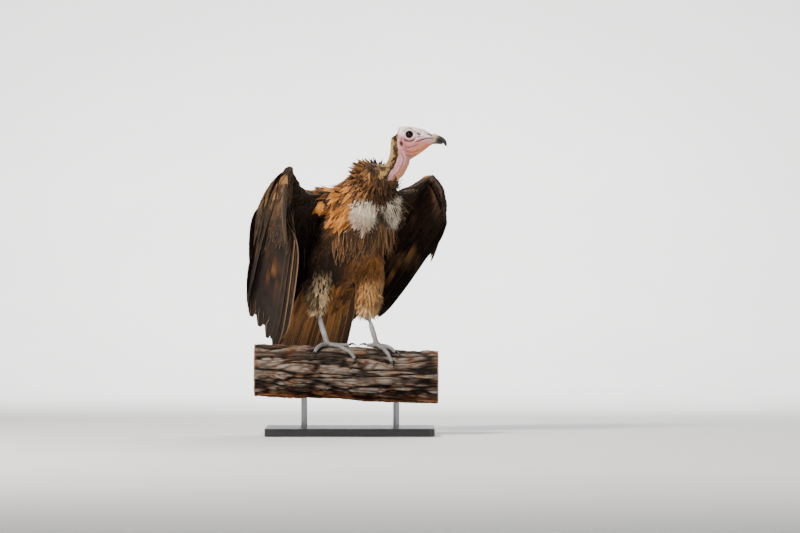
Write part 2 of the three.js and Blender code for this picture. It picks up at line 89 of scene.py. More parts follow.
WING = {
    "right": {
        "side": -1,
        "secondaries": [
            [[-18, 84, 372], [-98, 50, 332], [-134, 26, 230], [-166, 14, 116]],
            [[-60, 138, 373], [-135, 126, 345], [-178, 90, 230], [-198, 58, 108]],
            [[-126, 180, 366], [-172, 180, 330], [-215, 140, 210], [-225, 95, 95]],
            [[-57, 198, 415], [-115, 215, 392], [-205, 175, 240], [-240, 140, 85]],
            [[12, 207, 456], [-50, 232, 425], [-165, 190, 260], [-225, 164, 96]]],
        "primaries": [
            [[13, 207, 450], [-44, 228, 415], [-158, 186, 248], [-219, 159, 78]],
            [[14, 207, 429], [-15, 212, 370], [-115, 170, 200], [-195, 138, 39]],
            [[4, 201, 364], [-15, 188, 280], [-90, 158, 125], [-170, 124, -5]],
            [[0, 199, 338], [-15, 173, 239], [-75, 157, 122], [-140, 125, 10]]],
        "alula": [[18, 222, 422], [10, 226, 372], [-4, 217, 318], [-18, 200, 268]],
    },
    "left": {
        "side": 1,
        "secondaries": [
            [[-14, 84, 370], [-84, 66, 325], [-130, 50, 215], [-156, 46, 96]],
            [[-31, 137, 367], [-90, 125, 335], [-142, 106, 190], [-168, 92, 44]],
            [[-82, 182, 356], [-130, 180, 320], [-175, 150, 190], [-195, 126, 39]],
            [[-5, 196, 401], [-75, 215, 385], [-185, 200, 225], [-232, 175, 57]],
            [[68, 209, 442], [0, 245, 425], [-165, 255, 260], [-257, 223, 78]]],
        "primaries": [
            [[70, 210, 437], [4, 246, 416], [-163, 257, 250], [-257, 229, 80]],
            [[82, 221, 410], [35, 245, 355], [-135, 262, 205], [-239, 246, 78]],
            [[93, 237, 350], [45, 246, 285], [-90, 252, 160], [-191, 242, 76]],
            [[95, 239, 325], [40, 238, 255], [-60, 226, 155], [-137, 216, 81]]],
        "alula": [[86, 238, 405], [80, 252, 352], [56, 249, 285], [37, 233, 222]],
    },
}
WING_HALF_ROOT = 0.0100
WING_HALF_TIP = 0.0014
TAIL_ROOT = (-104, 158)
TAIL_TIP = (-208, -45)
TAIL_HALF_WIDTHS = (86, 112)
TAIL_ARCH = 16
TAIL_FEATHERS = 12
PRIMARIES = 10
SECONDARIES = 14


# ---- geometry helpers ----------------------------------------------------------------------
def unit(vectors):
    """The same directions, one metre long."""
    return vectors / np.maximum(np.linalg.norm(vectors, axis=-1, keepdims=True), 1e-12)


def dot(a, b):
    return np.sum(a * b, axis=-1, keepdims=True)


def ease(low, high, value):
    """0 below low, 1 above high, smooth between."""
    k = np.clip((value - low) / (high - low), 0, 1)
    return k * k * (3 - 2 * k)


def blend(a, b, share):
    return a + (b - a) * share


def bird(points):
    """Places in the scene of points given as forward, left and up of the bird, in millimetres."""
    p = np.asarray(points, float) * MM
    return p[..., :1] * FORWARD + p[..., 1:2] * LEFT + (p[..., 2:] + PERCH_TOP) * UP


def bird_frame(places):
    """Forward, left and up of the bird, in millimetres, of places in the scene."""
    f = places @ FORWARD
    l = places @ LEFT
    return np.stack([f, l, places[..., 2] - PERCH_TOP], -1) / MM


def side_view(places):
    """x and height over the perch's top, in millimetres, as seen from the front of the scene."""
    return places[..., 0] / MM, (places[..., 2] - PERCH_TOP) / MM


def noise(places, size, seed=0):
    """Smooth noise from -1 to 1 with lumps of that size in metres."""
    p = places / size + seed * 17.31
    cell = np.floor(p).astype(np.int64)
    part = p - cell
    part = part * part * (3 - 2 * part)
    total = np.zeros(places.shape[:-1])
    for corner in np.ndindex(2, 2, 2):
        at = cell + np.array(corner)
        key = (at[..., 0] * 73856093) ^ (at[..., 1] * 19349663) ^ (at[..., 2] * 83492791)
        key = (key * 1103515245 + 12345) & 0x7FFFFFFF
        key = ((key >> 7) * 69069 + 1) & 0xFFFFFF
        weight = np.prod(np.where(np.array(corner) == 1, part, 1 - part), axis=-1)
        total += (key / 0x7FFFFF - 1) * weight
    return total


def colour(hex_code):
    """A colour written in hex, as the linear light that the shaders use."""
    channels = np.array([int(hex_code[i:i + 2], 16) / 255 for i in (0, 2, 4)])
    return np.where(channels <= 0.04045, channels / 12.92, ((channels + 0.055) / 1.055) ** 2.4)


def catmull(rows, s):
    """Points at shares s along centripetal curves through the rows' matching points."""
    rows = np.asarray(rows, float)
    last = len(rows) - 1
    points = np.concatenate([[2 * rows[0] - rows[1]], rows, [2 * rows[-1] - rows[-2]]])
    place = np.clip(s, 0, 1) * last
    i = np.minimum(place.astype(int), last - 1)
    k = (place - i)[:, None, None]
    p0, p1, p2, p3 = (points[i + n] for n in range(4))
    d0, d1, d2 = (np.sqrt(np.linalg.norm(b - a, axis=-1, keepdims=True)) + 1e-9
                  for a, b in ((p0, p1), (p1, p2), (p2, p3)))
    t1 = ((p1 - p0) / d0 - (p2 - p0) / (d0 + d1) + (p2 - p1) / d1) * d1
    t2 = ((p2 - p1) / d1 - (p3 - p1) / (d1 + d2) + (p3 - p2) / d2) * d1
    return p1 + k * t1 + k ** 2 * (3 * (p2 - p1) - 2 * t1 - t2) + k ** 3 * (2 * (p1 - p2) + t1 + t2)


def fan(name, part):
    """The surface that a wing's feathers lie in: s runs across them, t from root to tip."""
    wing = WING[name]
    rows = bird(np.array(wing[part]) * [1, wing["side"], 1])

    def surface(s, t):
        s, t = np.broadcast_arrays(np.asarray(s, float), np.asarray(t, float))
        a, b, c, d = np.moveaxis(catmull(rows, s.ravel()), 1, 0)
        k = t.ravel()[:, None]
        line = (1 - k) ** 3 * a + 3 * (1 - k) ** 2 * k * b + 3 * (1 - k) * k ** 2 * c + k ** 3 * d
        return line.reshape(*s.shape, 3)
    return surface


def tail_surface(s, t):
    """The surface of the tail: s runs across it from right to left, t from root to tip."""
    s, t = np.broadcast_arrays(np.asarray(s, float), np.asarray(t, float))
    across = 2 * s - 1
    along = t * (1 - 0.07 * across ** 2)
    arch = TAIL_ARCH * (1 - across ** 2)
    width = blend(*TAIL_HALF_WIDTHS, along)
    f = blend(TAIL_ROOT[0], TAIL_TIP[0], along) - 0.9 * arch + 10
    u = blend(TAIL_ROOT[1], TAIL_TIP[1], along) + 0.3 * arch
    return bird(np.stack([f, across * width, u], -1))


def wing_half(t):
    """Half the thickness of the plumage on a wing."""
    return blend(WING_HALF_ROOT, WING_HALF_TIP, ease(0, 0.75, t))


def facing_out(surface, s, t, away=bird([-60, 0, 260])):
    """Unit normals of a surface on the side turned away from the body."""
    step = 0.01
    ds = surface(np.minimum(s + step, 1), t) - surface(np.maximum(s - step, 0), t)
    dt = surface(s, np.minimum(t + step, 1)) - surface(s, np.maximum(t - step, 0))
    normal = unit(np.cross(ds, dt))
    outward = dot(normal, surface(s, t) - away)
    return normal * np.where(outward.mean() < 0, -1, 1)


# ---- meshes --------------------------------------------------------------------------------
def deselect():
    if bpy.context.object and bpy.context.object.mode != "OBJECT":
        bpy.ops.object.mode_set(mode="OBJECT")
    bpy.ops.object.select_all(action="DESELECT")


def choose(piece):
    """Selects one object and makes it the active one."""
    deselect()
    piece.select_set(True)
    bpy.context.view_layer.objects.active = piece


def positions(piece):
    places = np.empty(len(piece.data.vertices) * 3)
    piece.data.vertices.foreach_get("co", places)
    return places.reshape(-1, 3)


def normals(piece):
    facing = np.empty(len(piece.data.vertices) * 3)
    piece.data.vertices.foreach_get("normal", facing)
    return facing.reshape(-1, 3)


def move_to(piece, places):
    piece.data.vertices.foreach_set("co", places.ravel())
    piece.data.update()


def copy_of(name, *nodes):
    """One loose mesh with the shapes of the named nodes, its doubled corners merged."""
    deselect()
    for node in nodes:
        twin = NODES[node].copy()
        twin.data = NODES[node].data.copy()
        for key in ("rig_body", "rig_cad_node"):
            del twin[key]
        twin.parent = None
        bpy.context.collection.objects.link(twin)
        twin.select_set(True)
        bpy.context.view_layer.objects.active = twin
    if len(nodes) > 1:
        bpy.ops.object.join()
    piece = bpy.context.view_layer.objects.active
    piece.name = name
    piece.data.name = name
    piece.data.materials.clear()
    bpy.ops.object.mode_set(mode="EDIT")
    bpy.ops.mesh.select_all(action="SELECT")
    bpy.ops.mesh.remove_doubles(threshold=1e-5)
    bpy.ops.object.mode_set(mode="OBJECT")
    return piece


def with_modifier(piece, kind, **settings):
    """Adds a modifier with these settings and applies it."""
    choose(piece)
    modifier = piece.modifiers.new(kind.title(), kind)
    for key, value in settings.items():
        setattr(modifier, key, value)
    bpy.ops.object.modifier_apply(modifier=modifier.name)
    return piece


def smooth_copy(name, nodes, voxel, rounds):
    """The nodes' shapes as one smooth closed mesh, with faces about one voxel wide."""
    piece = copy_of(name, *nodes)
    with_modifier(piece, "REMESH", mode="VOXEL", voxel_size=voxel, use_smooth_shade=True)
    with_modifier(piece, "SMOOTH", factor=0.5, iterations=rounds)
    bpy.ops.object.shade_smooth_by_angle(angle=math.radians(180))
    return piece


def finish_piece(piece, material, slot, *nodes):
    """Paints a piece, seats it on the model and hides the solids it stands for."""
    piece.data.materials.clear()
    piece.data.materials.append(material)
    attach(piece, "root")
    if nodes:
        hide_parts(*nodes)
    return piece


def put_points(mesh, name, kind, values):
    """A value at each point of a mesh: a number, a vector or a colour."""
    attribute = mesh.attributes.new(name, kind, "POINT")
    if kind == "FLOAT_COLOR":
        values = np.concatenate([values, np.ones((len(values), 1))], axis=1)
    field = {"FLOAT": "value", "FLOAT_VECTOR": "vector", "FLOAT_COLOR": "color"}[kind]
    attribute.data.foreach_set(field, np.asarray(values, np.float32).ravel())


class Surface:
    """A mesh that feathers are laid on."""

    def __init__(self, piece):
        mesh = piece.data
        mesh.calc_loop_triangles()
        self.points = positions(piece)
        self.facing = normals(piece)
        triangles = np.empty(len(mesh.loop_triangles) * 3, np.int64)
        mesh.loop_triangles.foreach_get("vertices", triangles)
        self.triangles = triangles.reshape(-1, 3)
        self.tree = BVHTree.FromPolygons(self.points.tolist(), self.triangles.tolist())

    def nearest(self, places):
        """The nearest places on the surface and their smooth normals."""
        found = np.empty_like(places)
        index = np.empty(len(places), int)
        for i, place in enumerate(places.tolist()):
            spot, _, index[i], _ = self.tree.find_nearest(place)
            found[i] = spot
        corners = self.triangles[index]
        gap = np.linalg.norm(self.points[corners] - found[:, None], axis=-1) + 1e-5
        weight = (1 / gap)[..., None]
        return found, unit(np.sum(self.facing[corners] * weight, axis=1))

    def scatter(self, random, where, spacing):
        """One random place in each cell of the spacing, in millimetres, where the test holds."""
        corners = self.points[self.triangles]
        middle = corners.mean(axis=1)
        facing = unit(self.facing[self.triangles].mean(axis=1))
        chosen = np.flatnonzero(where(middle, facing))
        area = np.linalg.norm(np.cross(corners[chosen, 1] - corners[chosen, 0],
                                       corners[chosen, 2] - corners[chosen, 0]), axis=1) / 2
        count = int(area.sum() / (spacing * MM) ** 2 * 6)
        taken = random.choice(chosen, count, p=area / area.sum())
        mix = random.dirichlet((1, 1, 1), count)
        places = np.sum(corners[taken] * mix[..., None], axis=1)
        cells = np.floor(places / (spacing * MM)).astype(int)
        _, first = np.unique(cells, axis=0, return_index=True)
        first = np.sort(first)
        return places[first], facing[taken[first]]


ROOT_DEPTH = 1.5


def lay(surface, roots, flow, length, steps, rise, hug):
    """Feather midlines from the roots that follow the surface along the flow, rising from it."""
    here, facing = surface.nearest(roots)
    heading = unit(flow - dot(flow, facing) * facing)
    stride = (np.broadcast_to(length, len(roots)) / steps * MM)[:, None]
    rise = np.broadcast_to(rise, len(roots))[:, None] * MM
    spine = [here - facing * ROOT_DEPTH * MM]
    over = [facing]
    point = here
    for step in range(1, steps + 1):
        ahead = point + heading * stride
        on, turned = surface.nearest(ahead)
        target = on + turned * rise * step / steps
        free = ahead + facing * rise / steps
        point = blend(free, target, hug)
        facing = unit(blend(facing, turned, hug))
        heading = unit(heading - dot(heading, facing) * facing)
        spine.append(point)
        over.append(facing)
    return np.stack(spine, 1), np.stack(over, 1)


# a feather's cross-section: place across from -1 to 1, and height in half thicknesses
SLIM = ((-1, 0), (0, 1), (1, 0), (0, -1))
SHAFTED = ((-1, 0), (-0.5, 0.4), (-0.07, 0.5), (0, 1.7), (0.07, 0.5), (0.5, 0.4),
           (1, 0), (0.5, -0.4), (0.07, -0.5), (0, -1.7), (-0.07, -0.5), (-0.5, -0.4))
OUTER_FACE = np.array([[height > 0] for _, height in SHAFTED], float)
CONTOUR = (0.25, 0.8, 1.0, 0.85, 0.12)
POINTED = (0.35, 0.95, 0.9, 0.55, 0.06)
DOWNY = (0.5, 1.0, 0.9, 0.6, 0.1)


def profile(widths, count):
    """Widths at count + 1 even stations of a feather whose outline is given by a few."""
    return np.interp(np.linspace(0, 1, count + 1), np.linspace(0, 1, len(widths)), widths)


def at_each_point(tint, shape):
    """Colours given for each feather, or for each of its stations, at all of its points."""
    while tint.ndim < 4:
        tint = tint[:, None] if tint.ndim == 2 else tint[:, :, None]
    return np.broadcast_to(tint, shape).reshape(-1, 3)


def feathers(name, spine, over, half_width, shade, rim, patch, random,
             section=SLIM, thick=0.35, cup=0.12, skew=0.0, tilt=0.0, patch_size=None):
    """One mesh of many feathers. Spine and over are (feathers, stations, 3), widths in metres,
    shade and rim their colours, and patch each one's corner on the OFBake map."""
    count, stations = spine.shape[:2]
    tangent = unit(np.gradient(spine, axis=1))
    side = unit(np.cross(over, tangent))
    over = unit(np.cross(tangent, side))
    tilt = np.broadcast_to(tilt, (count,))[:, None, None]
    side = unit(side + over * tilt)
    ring = np.array(section)
    across = ring[:, 0] + skew * (1 - np.abs(ring[:, 0]))
    width = half_width[..., None, None]
    places = spine[:, :, None] + side[:, :, None] * width * across[:, None]
    places += over[:, :, None] * (ring[:, 1, None] * thick * MM - cup * width * ring[:, 0, None] ** 2)
    sides = len(section)
    along = np.linspace(0, 1, stations)
    chance = random.random(count)
    vane = np.empty((count, stations, sides, 3))
    vane[..., 0] = ring[:, 0]
    vane[..., 1] = along[:, None]
    vane[..., 2] = chance[:, None, None]
    if patch_size is None:
        patch_size = (TUFT_PATCH, TUFT_PATCH)
    map_at = np.empty((count, stations, sides, 2))
    map_at[..., 0] = patch[:, None, None, 0] + (ring[:, 0] * 0.5 + 0.5) * patch_size[0]
    map_at[..., 1] = patch[:, None, None, 1] + along[:, None] * patch_size[1]

    start = np.arange(count)[:, None, None] * stations * sides
    row = np.arange(stations - 1)[:, None] * sides
    turn = np.arange(sides)
    after = (turn + 1) % sides
    quads = np.stack([start + row + turn, start + row + sides + turn,
                      start + row + sides + after, start + row + after], -1).reshape(-1, 4)
    half = sides // 2
    ladder = np.array([(i, i + 1, sides - 2 - i, sides - 1 - i) for i in range(half - 1)])
    near = start.reshape(-1, 1, 1) + ladder
    far = start.reshape(-1, 1, 1) + (stations - 1) * sides + ladder[:, ::-1]
    quads = np.concatenate([quads, near.reshape(-1, 4), far.reshape(-1, 4)])

    mesh = bpy.data.meshes.new(name)
    mesh.vertices.add(count * stations * sides)
    mesh.vertices.foreach_set("co", places.astype(np.float32).ravel())
    mesh.loops.add(quads.size)
    mesh.loops.foreach_set("vertex_index", quads.astype(np.int32).ravel())
    mesh.polygons.add(len(quads))
    mesh.polygons.foreach_set("loop_start", np.arange(0, quads.size, 4, dtype=np.int32))
    mesh.update(calc_edges=True)
    put_points(mesh, "vane", "FLOAT_VECTOR", vane.reshape(-1, 3))
    for attribute, tint in (("shade", shade), ("rim", rim)):
        put_points(mesh, attribute, "FLOAT_COLOR", at_each_point(tint, vane.shape))
    layer = mesh.uv_layers.new(name="OFBake")
    layer.data.foreach_set("uv", map_at.reshape(-1, 2)[quads.ravel()].astype(np.float32).ravel())
    piece = bpy.data.objects.new(name, mesh)
    bpy.context.collection.objects.link(piece)
    choose(piece)
    bpy.ops.object.shade_smooth_by_angle(angle=math.radians(65))
    return piece


# ---- finishes ------------------------------------------------------------------------------
class Field:
    """A value that varies over a surface. Arithmetic on it adds Math nodes."""

    def __init__(self, finish, socket):
        self.finish = finish
        self.socket = socket

    def math(self, operation, *values):
        return self.finish.node("ShaderNodeMath", {"operation": operation}, dict(enumerate(values)))

    def __add__(self, other):
        return self.math("ADD", self, other)

    def __sub__(self, other):
        return self.math("SUBTRACT", self, other)

    def __rsub__(self, other):
        return self.math("SUBTRACT", other, self)

    def __mul__(self, other):
        return self.math("MULTIPLY", self, other)

    __radd__ = __add__
    __rmul__ = __mul__

    def size(self):
        return self.math("ABSOLUTE", self)

    def wave(self):
        return self.math("SINE", self)

    def root(self):
        return self.math("SQRT", self)

    def most(self, other):
        return self.math("MAXIMUM", self, other)

    def ease(self, low, high):
        """0 below low, 1 above high, smooth between."""
        settings = {"interpolation_type": "SMOOTHSTEP"}
        return self.finish.node("ShaderNodeMapRange", settings, {0: self, 1: low, 2: high})


class Finish:
    """A material made of nodes round one Principled shader."""

    def __init__(self, name, **constants):
        self.material = bpy.data.materials.new(name)
        self.material.use_nodes = True
        self.tree = self.material.node_tree
        self.shader = self.tree.nodes["Principled BSDF"]
        for socket, value in constants.items():
            self.shader.inputs[socket.replace("_", " ")].default_value = value

    def node(self, kind, settings, inputs, out=0):
        """Adds a node with its settings, then its inputs, and returns one of its outputs."""
        node = self.tree.nodes.new(kind)
        for key, value in settings.items():
            if key == "stops":
                while len(node.color_ramp.elements) < len(value):
                    node.color_ramp.elements.new(0.5)
                for stop, (place, tint) in zip(node.color_ramp.elements, value):
                    stop.position = place
                    stop.color = (*tint, 1)
            else:
                setattr(node, key, value)
        for key, value in inputs.items():
            self.feed(node.inputs[key], value)
        return Field(self, node.outputs[out])

    def feed(self, socket, value):
        if isinstance(value, Field):
            self.tree.links.new(value.socket, socket)
        elif isinstance(value, np.ndarray):
            socket.default_value = (*value, 1)
        else:
            socket.default_value = value

    def place(self):
        return self.node("ShaderNodeTexCoord", {}, {}, "Object")

    def axes(self, vector):
        separate = self.node("ShaderNodeSeparateXYZ", {}, {0: vector})
        return [Field(self, output) for output in separate.socket.node.outputs]

    def stretched(self, vector, scale):
        return self.node("ShaderNodeMapping", {}, {0: vector, "Scale": scale})

    def attribute(self, name, out="Color"):
        return self.node("ShaderNodeAttribute", {"attribute_name": name}, {}, out)

    def noise(self, size, detail=3.0, rough=0.55, vector=None, warp=0.0):
        inputs = {0: vector or self.place(), "Scale": 1 / size, "Detail": detail,
                  "Roughness": rough, "Distortion": warp}
        return self.node("ShaderNodeTexNoise", {}, inputs)

    def ramp(self, value, *stops):
        return self.node("ShaderNodeValToRGB", {"stops": stops}, {0: value})

    def mix(self, a, b, share, kind="MIX"):
        settings = {"data_type": "RGBA", "blend_type": kind}
        return self.node("ShaderNodeMix", settings, {0: share, 6: a, 7: b}, 2)

    def bump(self, height, depth, strength=1.0, under=None):
        inputs = {"Height": height, "Distance": depth, "Strength": strength}
        if under:
            inputs["Normal"] = under
        return self.node("ShaderNodeBump", {}, inputs)

    def done(self, **links):
        for socket, value in links.items():
            self.feed(self.shader.inputs[socket.replace("_", " ")], value)
        return self.material


def feather_finish(name, barbs=60, shaft=0.25, rim_from=0.6, roughness=0.75, tip=0.7):
    """Vanes with a soft pale rim, a fine shaft and barbs that slope towards the tip."""
    finish = Finish(name, Specular_IOR_Level=0.18, Sheen_Weight=0.03, Sheen_Roughness=0.5)
    across, along, chance = finish.axes(finish.attribute("vane", "Vector"))
    reach = across.size()
    rim = reach.ease(rim_from, 0.98).most(along.ease(0.86, 1.0) * tip)
    body = finish.mix(finish.attribute("shade"), finish.attribute("rim"), rim)
    mottle = finish.noise(0.006, 4.0)
    tone = mottle.ease(0.25, 0.75) * 0.36 + 0.82 + (chance - 0.5) * 0.3
    body = finish.mix(body, finish.node("ShaderNodeCombineColor", {}, {0: tone, 1: tone, 2: tone}),
                      1.0, "MULTIPLY")
    line = (1 - reach.ease(0.015, 0.06)) * shaft
    body = finish.mix(body, colour("8a6a48"), line)
    barb = ((along * barbs + reach * barbs * 0.22 + mottle * 1.5) * 6.283).wave()
    body = finish.mix(body, colour("0d0a08"), barb.ease(0.2, 1.0) * 0.16)
    normal = finish.bump(barb, 0.0002, 0.5)
    return finish.done(Base_Color=body, Roughness=mottle * 0.2 + roughness - 0.1, Normal=normal)


def skin_finish():
    """Bare skin from painted points: mottled, finely wrinkled, with painted shade in its creases and ear and
    a dark ring at the eyelids.
    """
    finish = Finish("bare_skin", Specular_IOR_Level=0.4, Subsurface_Weight=0.12,
                    Subsurface_Radius=(0.006, 0.002, 0.001), Subsurface_Scale=1.0)
    base = finish.attribute("shade")
    crease = finish.attribute("crease", "Fac")
    scaly = finish.attribute("scaly", "Fac")
    blotch = finish.noise(0.009, 5.0, 0.6, warp=0.4)
    fine = finish.noise(0.0022, 4.0, 0.6)
    tone = blotch.ease(0.3, 0.7) * 0.22 + 0.89
    flush = finish.node("ShaderNodeCombineColor", {}, {0: tone * 0.3 + 0.72, 1: tone, 2: tone})
    base = finish.mix(base, flush, 0.7, "MULTIPLY")
    # Painted shade in the creases and ear hole, and the dark skin at the eyelids' edge.
    base = finish.mix(base, colour("160c0b"), crease)
    cells = finish.node("ShaderNodeTexVoronoi", {"feature": "DISTANCE_TO_EDGE"},
                        {0: finish.place(), "Scale": 1 / 0.0032})
    plates = cells.ease(0.02, 0.16)
    base = finish.mix(base, colour("5d5f66"), (1 - plates) * scaly * 0.5)
    folds = finish.node("ShaderNodeTexVoronoi", {"feature": "DISTANCE_TO_EDGE"},
                        {0: finish.stretched(finish.place(), (1.0, 1.0, 1.7)), "Scale": 1 / 0.0026})
    height = folds.ease(0.0, 0.2) * (1 - scaly) * 0.6 + plates * scaly + fine * 0.5
    return finish.done(Base_Color=base, Roughness=fine * 0.25 + 0.42,
                       Normal=finish.bump(height, 0.0005, 0.55))


def bill_finish():
    """Horn: pale at the cere, grey brown, then black at the hook, with growth lines."""
    finish = Finish("bill_horn", Specular_IOR_Level=0.5, Coat_Roughness=0.25)
    x, _, z = finish.axes(finish.place())
    grain = finish.noise(0.003, 4.0, vector=finish.stretched(finish.place(), (0.35, 1.0, 1.0)))
    reach = (x - 0.216) * 30 + (PERCH_TOP + 0.545 - z) * 22 + grain * 0.3
    body = finish.ramp(reach, (0.12, colour("c3b08c")), (0.42, colour("a3967a")),
                       (0.62, colour("423a30")), (0.82, colour("0c0b0a")))
    return finish.done(Base_Color=body, Roughness=grain * 0.2 + 0.3, Coat_Weight=grain * 0.2 + 0.05,
                       Normal=finish.bump(grain, 0.0003, 0.4))


def claw_finish():
    finish = Finish("claw_horn", Specular_IOR_Level=0.5)
    grain = finish.noise(0.002, 4.0)
    body = finish.ramp(grain, (0.3, colour("0f0d0c")), (0.75, colour("2e2723")))
    return finish.done(Base_Color=body, Roughness=grain * 0.3 + 0.2, Normal=finish.bump(grain, 0.0002, 0.4))


def eye_finish():
    """A dark wet eye: black pupil, deep brown iris with fine rays."""
    finish = Finish("eye_wet", IOR=1.36, Specular_IOR_Level=0.3)
    x, _, z = finish.axes(finish.place())
    dx = (x - EYE_X) * (1 / EYE_RADIUS)
    dz = (z - EYE_Z) * (1 / EYE_RADIUS)
    radius = (dx * dx + dz * dz).root()
    ray = finish.noise(0.0012, 3.0, vector=finish.stretched(finish.place(), (1, 0.2, 1)))
    body = finish.ramp(radius + ray * 0.06, (0.5, colour("020203")), (0.56, colour("1c0f0b")),
                       (0.8, colour("120a08")), (0.92, colour("040304")))
    return finish.done(Base_Color=body, Roughness=ray * 0.1 + 0.08)


# the height of the branch's pith at its sawn ends, in metres
PITH_HEIGHT = 0.157


def bark_finish():
    """Dead branch: crests grey from weathering and a painted highlight, brown flanks, furrows dark with
    painted shade, and a rusty underside.
    """
    finish = Finish("bark_grey", Specular_IOR_Level=0.15)
    place = finish.place()
    _, y, z = finish.axes(place)
    groove = finish.attribute("groove", "Fac")
    under = finish.attribute("under", "Fac")
    patch = finish.noise(0.03, 5.0, 0.6)
    fibre = finish.noise(0.0035, 6.0, 0.65, finish.stretched(place, (0.14, 1.0, 1.0)), 0.6)
    grit = finish.noise(0.0016, 4.0, 0.7)
    # The bark is paler on its crests and darker down its furrows: partly its own weathering, partly a painted
    # highlight on the crests and painted shade in the furrows.
    furrow = groove + (fibre - 0.5) * 0.7
    grey = finish.ramp(furrow, (0.0, colour("857a70")), (0.3, colour("5f5349")),
                       (0.55, colour("3b3029")), (0.85, colour("130e0b")))
    warm = finish.ramp(furrow, (0.0, colour("745a45")), (0.3, colour("5f4230")),
                       (0.55, colour("3f281b")), (0.85, colour("120b08")))
    rust = finish.ramp(furrow, (0.0, colour("a06532")), (0.35, colour("744223")), (0.8, colour("1b0f09")))
    body = finish.mix(grey, warm, patch.ease(0.46, 0.66))
    body = finish.mix(body, rust, under)
    rise = z - PITH_HEIGHT
    ring = (((y * y + rise * rise).root() + patch * 0.006) * 1250).wave().ease(-1, 1)
    wood = finish.mix(colour("b08a5e"), colour("8a6339"), ring * 0.6)
    body = finish.mix(body, wood, finish.attribute("sawn", "Fac"))
    bump = finish.bump(grit, 0.0008, 0.7, finish.bump(fibre, 0.0022, 0.9))
    return finish.done(Base_Color=body, Roughness=grit * 0.2 + 0.75, Normal=bump)


def stand_finish():
    """Dark satin lacquer with a faint grain."""
    finish = Finish("stand_lacquer", Specular_IOR_Level=0.45)
    grain = finish.noise(0.006, 5.0, 0.6, finish.stretched(finish.place(), (0.08, 1.0, 1.0)))
    body = finish.ramp(grain, (0.3, colour("17181a")), (0.7, colour("26272a")))
    return finish.done(Base_Color=body, Roughness=grain * 0.14 + 0.34, Normal=finish.bump(grain, 0.0002, 0.3))


def steel_finish():
    """Brushed steel, its lines round the rod."""
    finish = Finish("rod_steel", Metallic=1.0)
    lines = finish.noise(0.001, 3.0, 0.6, finish.stretched(finish.place(), (0.15, 0.15, 1.0)))
    body = finish.ramp(lines, (0.3, colour("7f8184")), (0.7, colour("a3a5a8")))
    return finish.done(Base_Color=body, Roughness=lines * 0.2 + 0.22, Normal=finish.bump(lines, 0.0001, 0.3))


def floor_finish():
    finish = Finish("studio_floor", Specular_IOR_Level=0.15)
    cloud = finish.noise(0.8, 2.0)
    body = finish.ramp(cloud, (0.3, colour("e6e6e4")), (0.7, colour("ecebe9")))
    return finish.done(Base_Color=body, Roughness=cloud * 0.1 + 0.75)


# ---- skin ----------------------------------------------------------------------------------
COAT_DEPTH = {"trunk": 9.0, "thigh": 7.0, "arm": 3.0, "neck": 2.5, "head": 0.6, "leg": -1.8}
REGIONS = {
    "trunk": ["trunk"],
    "thigh": ["thigh_right", "thigh_left"],
    "arm": ["upper_arm_right", "upper_arm_left", "forearm_right", "forearm_left", "hand_right", "hand_left"],
    "neck": ["neck"],
    "head": ["head"],
    "leg": ["tarsus_right", "tarsus_left", "foot_right", "foot_left"],
}
# where the nape's wool ends and bare skin begins: height over the perch's top, x, in millimetres
WOOL_EDGE = ((430, 94), (441, 98), (465, 114), (499, 127), (538, 123), (572, 125), (580, 128))
# creases of the face: points as x and height in millimetres, then width, depth and the darkness of the
# painted shade in them
CREASES = (
    (((171, 530.5), (183, 535.5), (195, 539.8), (206, 541.5), (217, 542.3)), 1.9, 2.2, 1.4),
    (((172, 556.5), (178, 553), (185, 549.5)), 3.2, 2.8, 1.35),
    (((198, 555.5), (208, 552), (217, 548)), 2.3, 2.2, 1.45),
    (((139, 541), (145, 535.5), (154, 532.6), (163, 534.5), (171, 541)), 2.4, 2.6, 1.15),
    (((139, 557), (145, 564), (156, 566.5), (167, 562)), 1.8, 1.1, 0.7),
    (((172, 546), (180, 544.6), (192, 547)), 1.8, 1.1, 0.7),
    (((131, 507), (141, 492), (139, 476), (128, 454), (113, 440)), 1.9, 1.6, 0.4),
    (((142, 521), (153, 516), (166, 520), (178, 524)), 2.0, 1.3, 0.7),
    (((128, 550), (134, 542), (134, 535)), 1.8, 1.2, 0.8),
    (((146, 508), (160, 503), (176, 508)), 2.0, 1.3, 0.4),
    (((146, 498), (158, 494), (170, 500)), 2.0, 1.3, 0.35),
)
EAR = (134, 527, 4.0, 7.4, 5.0)


def along_line(x, h, line):
    """The least distance from points of the side view to a line of points."""
    best = np.full(len(x), 1e9)
    for (x0, h0), (x1, h1) in zip(line, line[1:]):
        run = (x1 - x0, h1 - h0)
        k = np.clip(((x - x0) * run[0] + (h - h0) * run[1]) / (run[0] ** 2 + run[1] ** 2), 0, 1)
        best = np.minimum(best, np.hypot(x - x0 - k * run[0], h - h0 - k * run[1]))
    return best


def wool_share(places):
    """1 where the back of the head and neck is woolly, 0 on bare skin."""
    x, h = side_view(places)
    heights, edges = zip(*WOOL_EDGE)
    edge = np.interp(h, heights, edges) + 3 * noise(places, 0.012, 3)
    return ease(-2.0, 2.0, edge - x)


